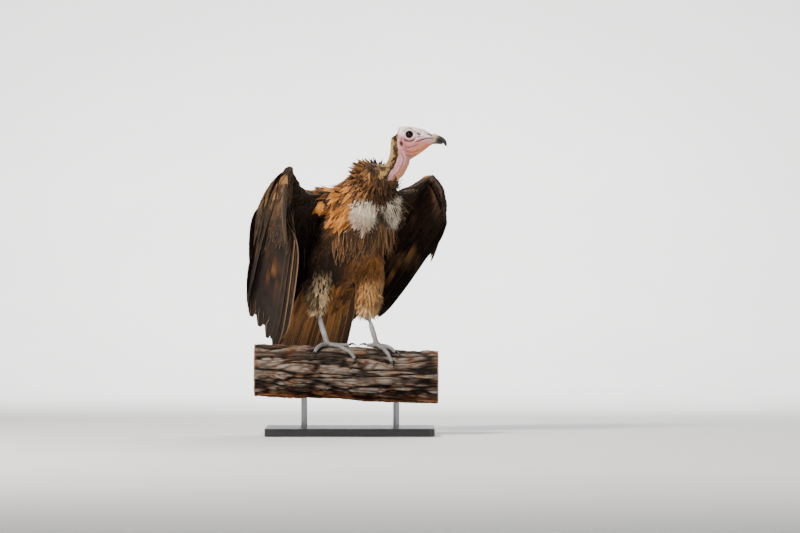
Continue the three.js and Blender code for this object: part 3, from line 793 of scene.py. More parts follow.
def head_skin(places):
    """Colours of the bare head and neck, with a painted highlight on the crown and painted shade below the
    gape.
    """
    x, h = side_view(places)
    blotch = 0.5 + 0.5 * noise(places, 0.006, 31)[:, None]
    white = blend(colour("f3e6e4"), colour("c99ca6"), blotch ** 2)
    pink = blend(colour("d8938f"), colour("9c606e"), blotch)
    # The skin pales towards the crown: its own paler colour there, brightened as a painted highlight on the
    # top of the head where the light falls.
    tint = blend(pink, white, ease(532, 560, h + 0.12 * (x - 150))[:, None])
    throat = ease(537, 512, h - 0.45 * (x - 180)) * ease(132, 164, x)
    tint = blend(tint, blend(colour("b15c38"), colour("d08a62"), blotch), (0.9 * throat)[:, None])
    tint = blend(tint, blend(colour("a87884"), colour("d09a92"), blotch), (0.8 * ease(514, 480, h))[:, None])
    front = ease(-2, 14, x - np.interp(h, (436, 470, 500), (104, 134, 156)))
    warm = (0.85 * front * ease(512, 490, h))[:, None]
    tint = blend(tint, blend(colour("b06a3c"), colour("d2935f"), blotch), warm)
    # Painted shade: a greyish lilac band just below the gape.
    shade_under_gape = ease(180, 210, x) * ease(528, 534, h) * ease(545, 538, h)
    tint = blend(tint, colour("a58f9c"), (0.6 * shade_under_gape)[:, None])
    cheek = np.exp(-(((x - 141) / 10) ** 2 + ((h - 522) / 13) ** 2))[:, None]
    tint = blend(tint, colour("9c4a50"), 0.55 * cheek)
    return blend(tint, colour("6d5238"), wool_share(places)[:, None])


def neck_line(x):
    """The height over the perch's top where the bare front of the neck begins."""
    return 442 - 0.31 * (x - 73)


# voxels of the remeshed skin, bark and horn, in metres
SKIN_VOXEL = 0.0034
BARK_VOXEL = 0.00176
HORN_VOXEL = 0.0006


def make_skin():
    skin = copy_of("skin", *SKIN_NODES)
    move_to(skin, positions(skin) + normals(skin) * 0.6 * MM)
    with_modifier(skin, "REMESH", mode="VOXEL", voxel_size=SKIN_VOXEL, use_smooth_shade=True)
    for cuts in (1, 2):
        choose(skin)
        bpy.ops.object.mode_set(mode="EDIT")
        bpy.ops.mesh.select_mode(type="FACE")
        bpy.ops.mesh.select_all(action="DESELECT")
        bpy.ops.object.mode_set(mode="OBJECT")
        middle = np.empty(len(skin.data.polygons) * 3)
        skin.data.polygons.foreach_get("center", middle)
        middle = middle.reshape(-1, 3)
        x, h = side_view(middle)
        fine = (h > 486) & (x > 112)
        if cuts == 1:
            fine |= (h > 440) & (x > 84) & (np.abs(middle[:, 1] - HEAD_Y) < 0.04)
            fine |= (h < 66) & (middle[:, 1] < 0.06)
        skin.data.polygons.foreach_set("select", fine)
        bpy.ops.object.mode_set(mode="EDIT")
        bpy.ops.mesh.subdivide(number_cuts=1, smoothness=1.0)
        bpy.ops.object.mode_set(mode="OBJECT")
    with_modifier(skin, "SMOOTH", factor=0.5, iterations=5)
    bpy.ops.object.shade_smooth_by_angle(angle=math.radians(180))

    places = positions(skin)
    weights = {}
    for region, nodes in REGIONS.items():
        solids = copy_of("probe", *nodes)
        tree = Surface(solids).tree
        distance = np.array([(tree.find_nearest(p) or (0, 0, 0, 1.0))[3] for p in places.tolist()])
        weights[region] = np.exp(-distance / 0.005)
        bpy.data.objects.remove(solids)
    total = sum(weights.values())
    weights = {region: weight / total for region, weight in weights.items()}
    wool = wool_share(places)
    depth = sum(weights[region] * COAT_DEPTH[region] for region in weights)
    _, height = side_view(places)
    depth = np.where(weights["leg"] > 0.5, depth * (0.15 + 0.85 * ease(12, 36, height)), depth)
    depth = np.where(weights["neck"] + weights["head"] > 0.5, wool * 2.5, depth)
    places = places - normals(skin) * (depth * MM)[:, None]

    x, h = side_view(places)
    bare = (weights["head"] + weights["neck"]) * (h > neck_line(x) - 12)
    out = np.sign(places[:, 1] - HEAD_Y)
    flank = ease(0.002, 0.008, np.abs(places[:, 1] - HEAD_Y)) * bare
    push = np.zeros(len(places))
    crease = np.zeros(len(places))
    for line, width, deep, dark in CREASES:
        gap = along_line(x, h, line)
        inside = ease(0, 5, x - line[0][0] + 1) if line[0][0] < line[-1][0] else 1
        inside = inside * (ease(0, 6, line[-1][0] + 1 - x) if 140 < line[-1][0] < 210 else 1)
        push -= deep * np.exp(-(gap / width) ** 2) - 0.4 * deep * np.exp(-((gap - 2.2 * width) / width) ** 2)
        # Painted shade along each crease.
        tone = dark * (0.85 + 0.3 * noise(places, 0.004, 32)) * inside
        crease = np.maximum(crease, tone * np.exp(-(gap / (width * 0.8)) ** 2))
    ear_x, ear_h, ear_a, ear_b, ear_deep = EAR
    lean = (x - ear_x) + 0.35 * (h - ear_h)
    hole = np.hypot(lean / ear_a, (h - ear_h) / ear_b)
    push -= ear_deep * np.exp(-hole ** 2) - 1.2 * np.exp(-((hole - 1.5) / 0.4) ** 2)
    # Painted shade in the ear hole.
    crease = np.maximum(crease, 1.5 * np.exp(-(hole / 0.8) ** 2))
    throat = ease(525, 505, h) * (1 - wool)
    push += throat * 0.7 * np.sin((h + 0.45 * (x - 130) + 3 * noise(places, 0.01, 5)) * 1.35)
    places = places + normals(skin) * (push * flank * MM)[:, None]
    crease *= flank

    snout = ease(190, 216, x) * (h > 500) * (weights["head"] > 0.5)
    axis = PERCH_TOP + 0.539
    places[:, 2] = blend(places[:, 2], axis + (places[:, 2] - axis) * 0.84, snout)
    places[:, 1] = blend(places[:, 1], HEAD_Y + (places[:, 1] - HEAD_Y) * 0.9, snout)

    dx, dz = places[:, 0] - EYE_X, places[:, 2] - EYE_Z
    rho = np.hypot(dx, dz)
    lid = (rho < 0.0135) & (bare > 0.5)
    globe = np.sqrt(np.maximum(EYE_RADIUS ** 2 - rho ** 2, 0))
    ring = 0.0048 * np.exp(-((rho - EYE_OPENING - 0.0012) / 0.0016) ** 2)
    pouch = 0.0030 * np.exp(-((rho - EYE_OPENING - 0.0042) / 0.0016) ** 2)
    surface = np.abs(places[:, 1] - HEAD_Y) - EYE_SPREAD
    raised = np.maximum(surface, np.where(rho > EYE_OPENING, np.maximum(ring, pouch), -1))
    raised = np.where(rho < EYE_OPENING, np.minimum(surface, globe - 0.0014), raised)
    places[lid, 1] = (HEAD_Y + out * (EYE_SPREAD + raised))[lid]
    # A dark ring of skin at the eyelids' edge.
    crease = np.maximum(crease, lid * ease(0.0034, 0.0014, rho - EYE_OPENING))

    shank = (weights["leg"] + weights["thigh"] * ease(104, 92, h)) * (h < 110)
    move_to(skin, places)
    scutes = 0.45 * np.sin(h * 1.5 + 0.6 * np.sin(x * 0.9)) * ease(4, 20, h)
    scutes += 0.35 * np.sin(x * 1.6 + 1.1 * places[:, 1] / MM) * ease(20, 4, h)
    move_to(skin, positions(skin) + normals(skin) * (scutes * shank * MM)[:, None])

    under = plumage_colour(places)[0] * 0.7
    tint = blend(under, head_skin(places), bare[:, None])
    grey = blend(colour("66676c"), colour("a3a5ac"), ease(14, 44, h)[:, None])
    heel = blend(grey, colour("8d8884"), (0.5 + 0.5 * noise(places, 0.02, 9))[:, None])
    tint = blend(tint, heel, np.clip(shank * 1.6, 0, 1)[:, None])
    put_points(skin.data, "shade", "FLOAT_COLOR", tint)
    put_points(skin.data, "crease", "FLOAT", np.clip(crease, 0, 1))
    put_points(skin.data, "scaly", "FLOAT", np.clip(shank * 1.6, 0, 1))
    return skin


# ---- plumage on the body -------------------------------------------------------------------
SPINE_FORWARD = (-134, -112, -75, -35, 8, 45, 78, 103, 122)
SPINE_UP = (116, 150, 195, 245, 300, 355, 400, 430, 450)
# the white lobes of the crop: x, height, half width and half height
CROP_LOBES = ((46, 352, 38, 42), (112, 362, 30, 38))


def front_share(places):
    """1 on the breast and belly, 0 on the back."""
    f, _, u = bird_frame(places).T
    return ease(-25, 25, f - np.interp(u, SPINE_UP, SPINE_FORWARD))


def crop_share(places):
    """1 on the white down of the crop."""
    x, h = side_view(places)
    reach = np.full(len(x), 9.0)
    for lobe_x, lobe_h, half_width, half_height in CROP_LOBES:
        reach = np.minimum(reach, np.hypot((x - lobe_x) / half_width, (h - lobe_h) / half_height))
    reach += 0.10 * noise(places, 0.02, 4)
    return ease(1.12, 0.88, reach) * front_share(places)


def pick(chance, *choices):
    """One of several colours for each chance from 0 to 1, given as (share, colour)."""
    result = np.empty((len(chance), 3))
    low = 0.0
    for share, tint in choices:
        result[chance >= low] = tint
        low += share
    return result


def plumage_colour(places, chance=None):
    """Vane and rim colours of the body's feathers rooted at these places."""
    x, h = side_view(places)
    front = front_share(places)[:, None]
    if chance is None:
        chance = np.full(len(places), 0.5)
    patch = noise(places, 0.03, 1)
    lit = ease(-0.9, 0.9, patch + (chance - 0.5) * 0.9)[:, None]
    back = blend(colour("231812"), colour("54402f"), lit)
    belly = blend(colour("2e1a0f"), colour("71451f"), lit)
    golden = ease(5, 75, x + 0.25 * (h - 230))[:, None] * ease(130, 180, h)[:, None]
    belly = blend(belly, blend(colour("3f2412"), colour("96602b"), lit), 0.75 * golden)
    tawny = ease(262, 300, h + 14 * patch)[:, None] * ease(70, 40, x)[:, None]
    breast = blend(belly, blend(colour("33200f"), colour("74481f"), lit), tawny)
    shadow = ease(26, -32, x - 0.12 * (h - 230) + 10 * patch)[:, None] * ease(345, 300, h)[:, None]
    breast = blend(breast, blend(colour("0b0705"), colour("23150d"), lit), shadow)
    right = ease(118, 140, x)[:, None] * ease(270, 300, h)[:, None]
    breast = blend(breast, blend(colour("1d1410"), colour("4a3526"), lit), right)
    neck = ease(388, 408, h + 0.25 * (x - 90))[:, None] * ease(26, 48, x)[:, None]
    breast = blend(breast, blend(colour("170e0a"), colour("4d301c"), lit), neck)
    vent = ease(165, 120, h)[:, None]
    breast = blend(breast, blend(colour("6b4424"), colour("b9884e"), lit), vent)
    crop = crop_share(places)[:, None]
    breast = blend(breast, colour("cfc3b4"), crop)
    shade = blend(back, breast, front)
    # Rims fade where the flank carries the painted shadow, and on the back.
    rim_left_by_shadow_and_back = 1 - 0.75 * np.maximum(shadow * front, 1 - front)
    rim = blend(shade, colour("c08a50"), (0.14 + 0.26 * chance[:, None]) * rim_left_by_shadow_and_back)
    return shade, rim


def outward_flow(places):
    """The lie of the body's feathers: from the neck to the tail, fanned out on the breast."""
    x, h = side_view(places)
    front = front_share(places)[:, None]
    along = unit(bird([-134, 0, 116]) - bird([122, 0, 450]))
    fan_out = np.clip((x - 68) / 75, -1.5, 1.3) * ease(290, 350, h)
    down = -UP + np.outer(fan_out, [1.0, 0, 0]) + 0.25 * along
    return unit(blend(along, unit(down), front * 0.8))


def cylinder_map(places):
    """Corners on the OFBake map: round the body across, and its height up the map."""
    f, l, u = bird_frame(places).T
    around = np.arctan2(l, f - np.interp(u, SPINE_UP, SPINE_FORWARD)) / (2 * math.pi) + 0.5
    height = (places[:, 2] - 0.15) / 0.68
    return np.stack([0.01 + 0.97 * around, 0.01 + 0.97 * np.clip(height, 0, 1)], -1)


def coat(name, surface, seed, where, spacing, length, half_width, rise, outline,
         material, flow=outward_flow, paint=plumage_colour, slot="plumage",
         steps=4, hug=0.85, swing=0.12):
    """A coat of overlapping feathers scattered over a part of a surface."""
    random = np.random.default_rng(seed)
    roots, _ = surface.scatter(random, where, spacing)
    count = len(roots)
    size = 1 + 0.25 * (random.random(count) * 2 - 1)
    lie = unit(flow(roots) + swing * random.normal(size=(count, 3)))
    lift = rise * (0.55 + 0.6 * random.random(count))
    spine, over = lay(surface, roots, lie, length * size, steps, lift, hug)
    chance = random.random(count)
    shade, rim = paint(roots, chance)
    widths = np.outer(half_width * MM * (0.8 + 0.4 * random.random(count)), profile(outline, steps))
    piece = feathers(name, spine, over, widths, shade, rim, cylinder_map(roots), random,
                     thick=0.3, cup=0.2, tilt=0.25 * (random.random(count) - 0.5))
    return finish_piece(piece, material, slot)


def legging_colour(places, chance):
    x, h = side_view(places)
    cream = blend(colour("bb9363"), colour("e2c9a2"), chance[:, None])
    gold = blend(colour("7d4f20"), colour("b9864c"), chance[:, None])
    pale = np.maximum(ease(10, -10, x), 0.45 * ease(125, 100, h))[:, None]
    base = blend(gold, cream, pale)
    spots = noise(places, 0.013, 6) + 0.5 * noise(places, 0.007, 7)
    outer = np.where(x < 0, ease(-48, -60, x) * ease(100, 116, h), ease(60, 72, x) * ease(95, 115, h))
    base = blend(base, colour("462c18"), (0.9 * ease(0.05, 0.25, spots) * outer)[:, None])
    up = ease(165, 205, h + 12 * noise(places, 0.02, 8))[:, None]
    shade, rim = plumage_colour(places, chance)
    return blend(base, shade, up), blend(blend(base, colour("e8d2aa"), 0.25), rim, up)


def vent_colour(places, chance):
    shade = blend(colour("5a3517"), colour("b0793a"), chance[:, None])
    return shade, blend(shade, colour("d2a05c"), 0.35)


def down_flow(places):
    return unit(-UP + 0.12 * noise(places, 0.03, 11)[:, None] * np.array([1.0, 0, 0]))


def white_down(places, chance):
    x, h = side_view(places)
    base = blend(colour("dcc8a8"), colour("fff1dc"), chance[:, None])
    # Painted shade: the down turns darker buff low on the lobes, most on the left one.
    low = ease(366, 322, h + 0.5 * (x - 45)) * ease(95, 75, x)
    low = np.maximum(low, 0.8 * ease(338, 318, h) * ease(70, 90, x))
    base = blend(base, blend(colour("8a6b4d"), colour("c4a684"), chance[:, None]), low[:, None] * 0.85)
    middle = 79 - 0.10 * (h - 345)
    wedge = np.exp(-((x - middle) / (7 + 0.22 * np.clip(380 - h, 0, 60))) ** 2) * ease(390, 366, h)
    wedge = np.clip(wedge * 1.6, 0, 1)[:, None]
    base = blend(base, blend(colour("2c211b"), colour("6a5646"), chance[:, None]), wedge)
    return base, blend(base, colour("fffaf2"), 0.35 * (1 - wedge))


def fluffy_flow(places):
    x, h = side_view(places)
    middle = np.where(x < 79, 50, 112)
    away = np.stack([(x - middle) * 0.016, np.full(len(x), -0.25), (352 - h) * 0.004 - 0.75], -1)
    return unit(away)


def wool_colour(places, chance):
    x, h = side_view(places)
    heights, edges = zip(*WOOL_EDGE)
    inner = np.interp(h, heights, edges) - x
    gold = blend(colour("a8793d"), colour("e0bf80"), chance[:, None])
    dark = blend(colour("1a120d"), colour("4d3923"), chance[:, None])
    fleck = noise(places, 0.006, 12)
    band = ease(15, 7, inner + 7 * fleck)[:, None] * np.where(fleck > 0.35, 0.5, 1.0)[:, None]
    shade = blend(gold, dark, band)
    return shade, blend(shade, colour("f0dcae"), 0.25 * (1 - band))


def neck_flow(places):
    curl = 0.5 * noise(places, 0.006, 13)[:, None] * np.array([1.0, 1.0, 0.5])
    return unit(np.array([-0.45, 0.0, -1.0]) + curl)


def ruff_colour(places, chance):
    x, _ = side_view(places)
    shade = pick(chance, (0.35, colour("3a2318")), (0.3, colour("7a4d28")), (0.35, colour("a87040")))
    dark = ease(40, 68, x)[:, None]
    shade = blend(shade, shade * 0.2 + colour("140c08") * 0.8, dark)
    return shade, blend(shade, colour("d9a868"), 0.42 - 0.3 * dark)


RUFF_MIDDLE = bird(np.array([116.0, 8.0, 437.0]))
RUFF_RADIUS = 0.030
RUFF_FEATHERS = 420


def collar_flow(places):
    return unit(unit(places - RUFF_MIDDLE - 0.02 * UP) - 0.35 * UP)


def make_ruff(surface, material):
    """The collar: long narrow feathers that stand out round the base of the neck and droop."""
    random = np.random.default_rng(111)
    count = RUFF_FEATHERS
    along = unit(bird([122, 0, 450]) - bird([103, 0, 420]))
    right = unit(np.cross(along, LEFT))
    turn = random.random(count) * 2 * math.pi
    ring = random.random(count)
    radial = np.cos(turn)[:, None] * LEFT + np.sin(turn)[:, None] * right
    behind = ease(0.1, -0.8, radial @ FORWARD)
    roots = RUFF_MIDDLE + np.outer(0.018 * behind - 0.008 - 0.030 * ring, along)
    roots, facing = surface.nearest(roots + radial * (RUFF_RADIUS + 0.012 * ring[:, None]))
    stand = 0.1 + 0.4 * behind - 0.2 * ring
    heading = unit(radial + along * stand[:, None] + 0.16 * random.normal(size=(count, 3)))
    length = (0.024 + 0.012 * random.random(count) + 0.004 * behind)[:, None]
    steps = 6
    spine = [roots - facing * 0.002]
    for _ in range(steps):
        heading = unit(heading - UP * (0.16 - 0.10 * behind[:, None]))
        spine.append(spine[-1] + heading * length / steps)
    spine = np.stack(spine, 1)
    run = np.gradient(spine, axis=1)
    over = unit(np.cross(np.cross(run, radial[:, None]), run))
    over = np.where(dot(over, along) < 0, -over, over)
    shade, rim = ruff_colour(roots, random.random(count))
    widths = np.outer(3.4 * MM * (0.6 + 0.8 * random.random(count)), profile(POINTED, steps))
    piece = feathers("ruff", spine, over, widths, shade, rim, cylinder_map(roots), random, thick=0.3, cup=0.2)
    return finish_piece(piece, material, "plumage")


def side_flow(places):
    sway = 0.25 * noise(places, 0.01, 17)[:, None] * np.array([1.0, 0, 0])
    return unit(np.array([0.62, -0.2, -1.0]) + sway)


def side_colour(places, chance):
    shade = blend(colour("1f1511"), colour("4b3728"), chance[:, None])
    return shade, blend(colour("a8845c"), colour("dcc09a"), chance[:, None])


def hackle_colour(places, chance):
    """Golden lanceolate feathers of the shoulder, some tawny, with pale rims."""
    shade = pick(chance, (0.3, colour("5a3016")), (0.4, colour("96581f")), (0.3, colour("ba7430")))
    return shade, blend(shade, colour("e4ac66"), 0.45)


def make_breast_points(surface, material):
    """Long pointed feathers that hang over the belly below the crop, free of it on the left side."""
    random = np.random.default_rng(107)

    def band(middle, facing):
        x, h = side_view(middle)
        line = 308 + 0.16 * (x - 30) + 10 * (x > 78)
        return (np.abs(h - line) < 18) & (x > -42) & (x < 150) & (front_share(middle) > 0.6)

    roots, _ = surface.scatter(random, band, 13)
    count = len(roots)
    x, _ = side_view(roots)
    free = ease(70, 95, x)[:, None]
    flow = np.stack([(x - 60) * 0.0022 + 0.16 * free[:, 0], np.full(count, -0.12), np.full(count, -1.0)], -1)
    flow = unit(flow + 0.05 * random.normal(size=(count, 3)))
    length = 62 + 20 * random.random(count)
    rise = 12 + 8 * random.random(count) + 16 * free[:, 0]
    spine, over = lay(surface, roots, flow, length, 6, rise, blend(0.6, 0.06, free))
    dark = pick(random.random(count), (0.4, colour("301c0e")), (0.3, colour("52321a")),
                (0.3, colour("26160a")))
    pale = pick(random.random(count), (0.5, colour("6a4829")), (0.5, colour("957047")))
    shade = blend(dark, pale, 0.85 * free)
    widths = np.outer(7.0 * MM * (0.75 + 0.5 * random.random(count)), profile((0.3, 0.9, 1, 0.6, 0.05), 6))
    rim = blend(shade, colour("cda070"), 0.38)
    piece = feathers("breast_points", spine, over, widths, shade, rim, cylinder_map(roots), random,
                     thick=0.3, cup=0.25)
    return finish_piece(piece, material, "plumage")


# ---- wings and tail ------------------------------------------------------------------------
FLIGHT_OUTLINE = (0.30, 0.52, 0.7, 0.84, 0.93, 0.98, 1, 1, 1, 1, 1, 1, 1, 0.99, 0.97, 0.93, 0.84, 0.66, 0.22)
FLIGHT_STEPS = 22
FLIGHT_HALF_WIDTHS = {"primaries": 28, "secondaries": 30}
ALULA_FEATHERS = 4
# rows of coverts from the lowest up: height of the tips, length and half width, in millimetres
WING_COVERT_ROWS = ((258, 108, 10.5), (292, 74, 8.6), (318, 60, 7.4), (340, 52, 6.6), (360, 46, 6.0),
                    (380, 42, 5.6), (399, 38, 5.3), (418, 34, 5.0))
TAIL_COVERT_ROWS = ((80, 76, 11), (112, 62, 10), (140, 52, 10))


def strip_map(count):
    """Corners and size of long patches, side by side, for feathers big enough to show detail."""
    columns = math.ceil(math.sqrt(count * 4))
    rows = math.ceil(count / columns)
    at = np.arange(count)
    corner = np.stack([(at % columns) / columns, (at // columns) / rows], -1) + 0.004
    return corner, (0.9 / columns, 0.96 / rows)


def flight_row(name, surface, shares, half_width, reach, paint, seed, material, sign):
    """Large feathers in a row, the inner ones lying over the outer ones on the upper side."""
    random = np.random.default_rng(seed)
    count = len(shares)
    t = np.linspace(0.0, 1.0, FLIGHT_STEPS + 1)
    s = shares[:, None] + np.zeros(FLIGHT_STEPS + 1)
    along = t[None] * reach[:, None]
    spine = surface(s, along)
    over = facing_out(surface, s, along)
    order = np.linspace(1, -1, count) * 0.9 * count / 2
    layer = order[:, None] * ease(0.05, 0.4, t)[None] * MM
    room = wing_half(along) * 0.55 + 0.0006
    spine = spine + over * np.clip(layer, -room, room)[..., None]
    widths = np.outer(np.full(count, half_width * MM), profile(FLIGHT_OUTLINE, FLIGHT_STEPS))
    shade, rim = paint(spine)
    corner, size = strip_map(count)
    piece = feathers(name, spine, over, widths, shade, rim, corner, random, section=SHAFTED,
                     thick=0.7, cup=0.10, skew=-0.35 * sign, tilt=0.10 * sign, patch_size=size)
    return finish_piece(piece, material, "flight")


def covert_rows(name, surface, side, rows, seed, material, paint, span=(0.0, 1.0)):
    """Rows of coverts over a fan: each row is its tips' height, length and half width."""
    random = np.random.default_rng(seed)
    probe = np.linspace(0, 1, 160)
    low, high = span
    edge = surface(np.linspace(low, high, 30), np.full(30, 0.25))
    breadth = np.linalg.norm(np.diff(edge, axis=0), axis=1).sum()
    stations = 7
    spines, overs, widths, corners = [], [], [], []
    for number, (tip_height, length, half_width) in enumerate(rows):
        count = max(4, int(breadth / (half_width * MM * 0.95)))
        s = low + (high - low) * (np.arange(count) + 0.5 * random.random(count)) / count
        lines = surface(s[:, None] + np.zeros(160), probe[None] + np.zeros((count, 1)))
        heights = (lines[..., 2] - PERCH_TOP) / MM
        run = np.cumsum(np.linalg.norm(np.diff(lines, axis=1, prepend=lines[:, :1]), axis=2), axis=1)
        tip_at = tip_height + 0.36 * length * (random.random(count) - 0.5)
        tip = np.array([np.interp(-tip_at[i], -heights[i], run[i]) for i in range(count)])
        reach = length * MM * (0.9 + 0.2 * random.random(count))
        kept = tip > 0.35 * reach
        count = kept.sum()
        if not count:
            continue
        s, tip, reach, run = s[kept], tip[kept], reach[kept], run[kept]
        distance = blend(np.maximum(tip - reach, 0)[:, None], tip[:, None], np.linspace(0, 1, stations)[None])
        t = np.array([np.interp(distance[i], run[i], probe) for i in range(count)])
        share = s[:, None] + 0.012 * np.linspace(0, 1, stations) * random.normal(size=(count, 1))
        spine = surface(np.clip(share, 0, 1), t)
        over = facing_out(surface, share, t) * side
        layer = wing_half(t) * (0.72 + 0.05 * number) + np.linspace(0, 1, stations)[None] * 0.0024
        spines.append(spine + over * layer[..., None])
        overs.append(over)
        widths.append(np.outer(half_width * MM * (0.85 + 0.3 * random.random(count)),
                               profile((0.5, 0.9, 1.0, 1.0, 0.9, 0.66, 0.14), stations - 1)))
        corners.append(np.stack([0.02 + 0.9 * s, np.full(count, 0.05 + 0.9 * number / len(rows))], -1))
    spine = np.concatenate(spines)
    shade, rim = paint(spine[:, -1], random.random(len(spine)))
    piece = feathers(name, spine, np.concatenate(overs), np.concatenate(widths), shade, rim,
                     np.concatenate(corners), random, thick=0.35, cup=0.16, tilt=0.06,
                     patch_size=(0.006, 0.02))
    return finish_piece(piece, material, "covert")


def covert_colour(name, label):
    """The colours of one side of one wing's coverts, by the place of their tips."""
    def paint(places, chance):
        x, h = side_view(places)
        patch = noise(places * [1, 1, 0.4], 0.016, 15)
        lit = ease(-0.9, 0.9, 0.7 * patch + (chance - 0.5) * 1.5)[:, None]
        dark = blend(colour("0f0a07"), colour("2a1c13"), lit)
        if label == "upper":
            light = blend(colour("2f1f14"), colour("84603c"), lit)
            share = ease(315, 400, h + 24 * patch) * ease(-150, -170, x)
            tint = blend(dark, light, share[:, None]) if name == "right" else blend(dark, light, 0.3)
            return tint, blend(tint, colour("b08758"), 0.16)
        warm = blend(colour("150c07"), colour("41281a"), lit)
        if name == "right":
            return dark, blend(dark, colour("6b4c34"), 0.15)
        outer = ease(330, 300, h - 0.35 * (x - 200)) * ease(190, 215, x)
        tint = blend(warm, colour("0f0a08"), outer[:, None])
        edge = ease(212, 232, x + 0.35 * (h - 380)) * ease(330, 380, h)
        tint = blend(tint, blend(colour("4a2d1e"), colour("9a6d50"), lit), 0.7 * edge[:, None])
        return tint, blend(tint, colour("9a7350"), 0.10)
    return paint


def arm_colour(places, chance):
    """Marginal coverts: light brown at the right wrist, near black inside where painted shade deepens their
    dark brown, buff along the left top edge.
    """
    x, h = side_view(places)
    patch = noise(places, 0.014, 14)
    lit = ease(-0.7, 0.7, patch + (chance - 0.5) * 1.2)[:, None]
    wrist = blend(colour("3a291d"), colour("93714c"), lit)
    # Near black inside the wing: the coverts' dark brown, deepened by painted shade.
    inner = blend(colour("080504"), colour("20140c"), lit)
    edge = blend(colour("50331f"), colour("b48a66"), lit)
    shade = blend(inner, wrist, ease(-148, -164, x + 0.12 * (h - 400))[:, None])
    shade = blend(shade, edge, ease(128, 150, x)[:, None] * ease(432, 452, h - 0.15 * (x - 180))[:, None])
    return shade, blend(shade, colour("c09a70"), 0.12)


def arm_flow(places):
    side = np.where(bird_frame(places)[:, 1] < 0, -1.0, 1.0)
    back = np.stack([np.full_like(side, -1.0), 0.25 * side, np.full_like(side, -1.1)], -1)
    return unit(bird(back) - bird([0, 0, 0]))


def flight_colour(name):
    """The colours along one wing's flight feathers and their paler edges, with a painted sheen and a painted
    shaft highlight on the left wing's underside.
    """
    def paint(places):
        x, h = side_view(places)
        count = len(places)
        streak = noise(places * [1, 1, 0.25], 0.012, 16)
        shade = blend(colour("0c0806"), colour("281a11"), ease(-0.9, 0.9, streak)[..., None])
        share = 0.12 + 0.5 * (np.arange(count) % 3 == 0)[:, None, None]
        if name == "right":
            tawny = np.exp(-((x + 209) / 13) ** 2 - ((h - 205) / 48) ** 2)[..., None]
            tawny *= ease(-0.5, 0.4, noise(places * [1, 1, 0.12], 0.006, 18))[..., None]
            shade = blend(shade[:, :, None], colour("7c4d25"), 0.8 * tawny[:, :, None] * OUTER_FACE)
            return shade, blend(shade, colour("9a7650"), share[..., None])
        # Painted sheen: a tan panel where the light falls on the left wing's underside.
        underside_sheen = np.exp(-((x - 148) / 36) ** 4 - ((h - 214) / 24) ** 4)[..., None]
        sheen_tint = blend(colour("5f4228"), colour("a07e58"), ease(-0.6, 0.6, streak)[..., None])
        shade = blend(shade[:, :, None], sheen_tint[:, :, None], 0.75 * underside_sheen[:, :, None] * (1 - OUTER_FACE))
        # Painted highlight: the shafts' pale colour brightened to a golden line where the light catches them
        # on the underside.
        gap = along_line(x.ravel(), h.ravel(), ((187, 250), (140, 196), (96, 146))).reshape(x.shape)
        line = np.exp(-(gap / 3.2) ** 2)[:, :, None, None]
        shade = blend(shade, colour("b98550"), 0.8 * line * (1 - OUTER_FACE))
        return shade, blend(shade, colour("7a5a3c"), 0.4 * share[..., None])
    return paint


def make_wing(name, materials):
    wing = WING[name]
    sign = wing["side"]
    flight, covert = materials
    for part, count in (("primaries", PRIMARIES), ("secondaries", SECONDARIES)):
        shares = np.linspace(0.0, 1.0, count) if part == "primaries" else np.linspace(0.02, 0.97, count)
        reach = 1 - 0.035 * (np.arange(count) % 2) * (part == "primaries")
        piece = flight_row(f"{part}_{name}_vanes", fan(name, part), shares, FLIGHT_HALF_WIDTHS[part], reach,
                           flight_colour(name), 31 + sign, flight, -sign)
        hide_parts(f"{part}_{name}")
    for side, label in ((1, "upper"), (-1, "under")):
        paint = covert_colour(name, label)
        for lead, part, seed in (("coverts", "secondaries", 41), ("hand_coverts", "primaries", 43)):
            covert_rows(f"{lead}_{label}_{name}", fan(name, part), side, WING_COVERT_ROWS, seed,
                        covert, paint)
    thumb = bird(np.array(wing["alula"]) * [1, sign, 1])
    t = np.linspace(0, 1, FLIGHT_STEPS + 1)[None, :, None]
    line = ((1 - t) ** 3 * thumb[0] + 3 * (1 - t) ** 2 * t * thumb[1]
            + 3 * (1 - t) * t ** 2 * thumb[2] + t ** 3 * thumb[3])
    across = unit(np.gradient(line, axis=1))
    away = unit(np.cross(across, FORWARD) * -sign)
    count = ALULA_FEATHERS
    offset = np.linspace(-0.5, 0.5, count)[:, None, None]
    spine = line + FORWARD * 0.012 * offset + away * 0.0035 * offset
    spine = thumb[0] + (spine - thumb[0]) * np.linspace(0.8, 1.0, count)[:, None, None]
    widths = np.outer(np.full(count, 7 * MM), profile(FLIGHT_OUTLINE, FLIGHT_STEPS))
    shade = blend(colour("1d1510"), colour("45331f" if name == "right" else "2d211a"), ease(0.5, 0.9, t))
    shade = np.repeat(shade, count, 0)
    corner, size = strip_map(count)
    piece = feathers(f"alula_{name}_vanes", spine, np.broadcast_to(away, spine.shape).copy(), widths, shade,
                     blend(shade, colour("b59a78"), 0.3), corner, np.random.default_rng(51), section=SHAFTED,
                     thick=0.7, cup=0.1, skew=0.2, patch_size=size)
    finish_piece(piece, flight, "flight", f"alula_{name}")


def behind_tail(places):
    """Whether places are behind the tail's own surface."""
    f, _, u = bird_frame(places).T
    middle = TAIL_ROOT[0] + (TAIL_ROOT[1] - u) * (TAIL_TIP[0] - TAIL_ROOT[0]) / (TAIL_ROOT[1] - TAIL_TIP[1])
    return f < middle


def tail_covert_colour(places, chance):
    lit = chance[:, None]
    gold = blend(colour("4f2f15"), colour("a06c34"), lit)
    dark = blend(colour("2a1d14"), colour("5b4028"), lit)
    shade = np.where(behind_tail(places)[:, None], dark, gold)
    return shade, blend(shade, colour("c99a5e"), 0.25)


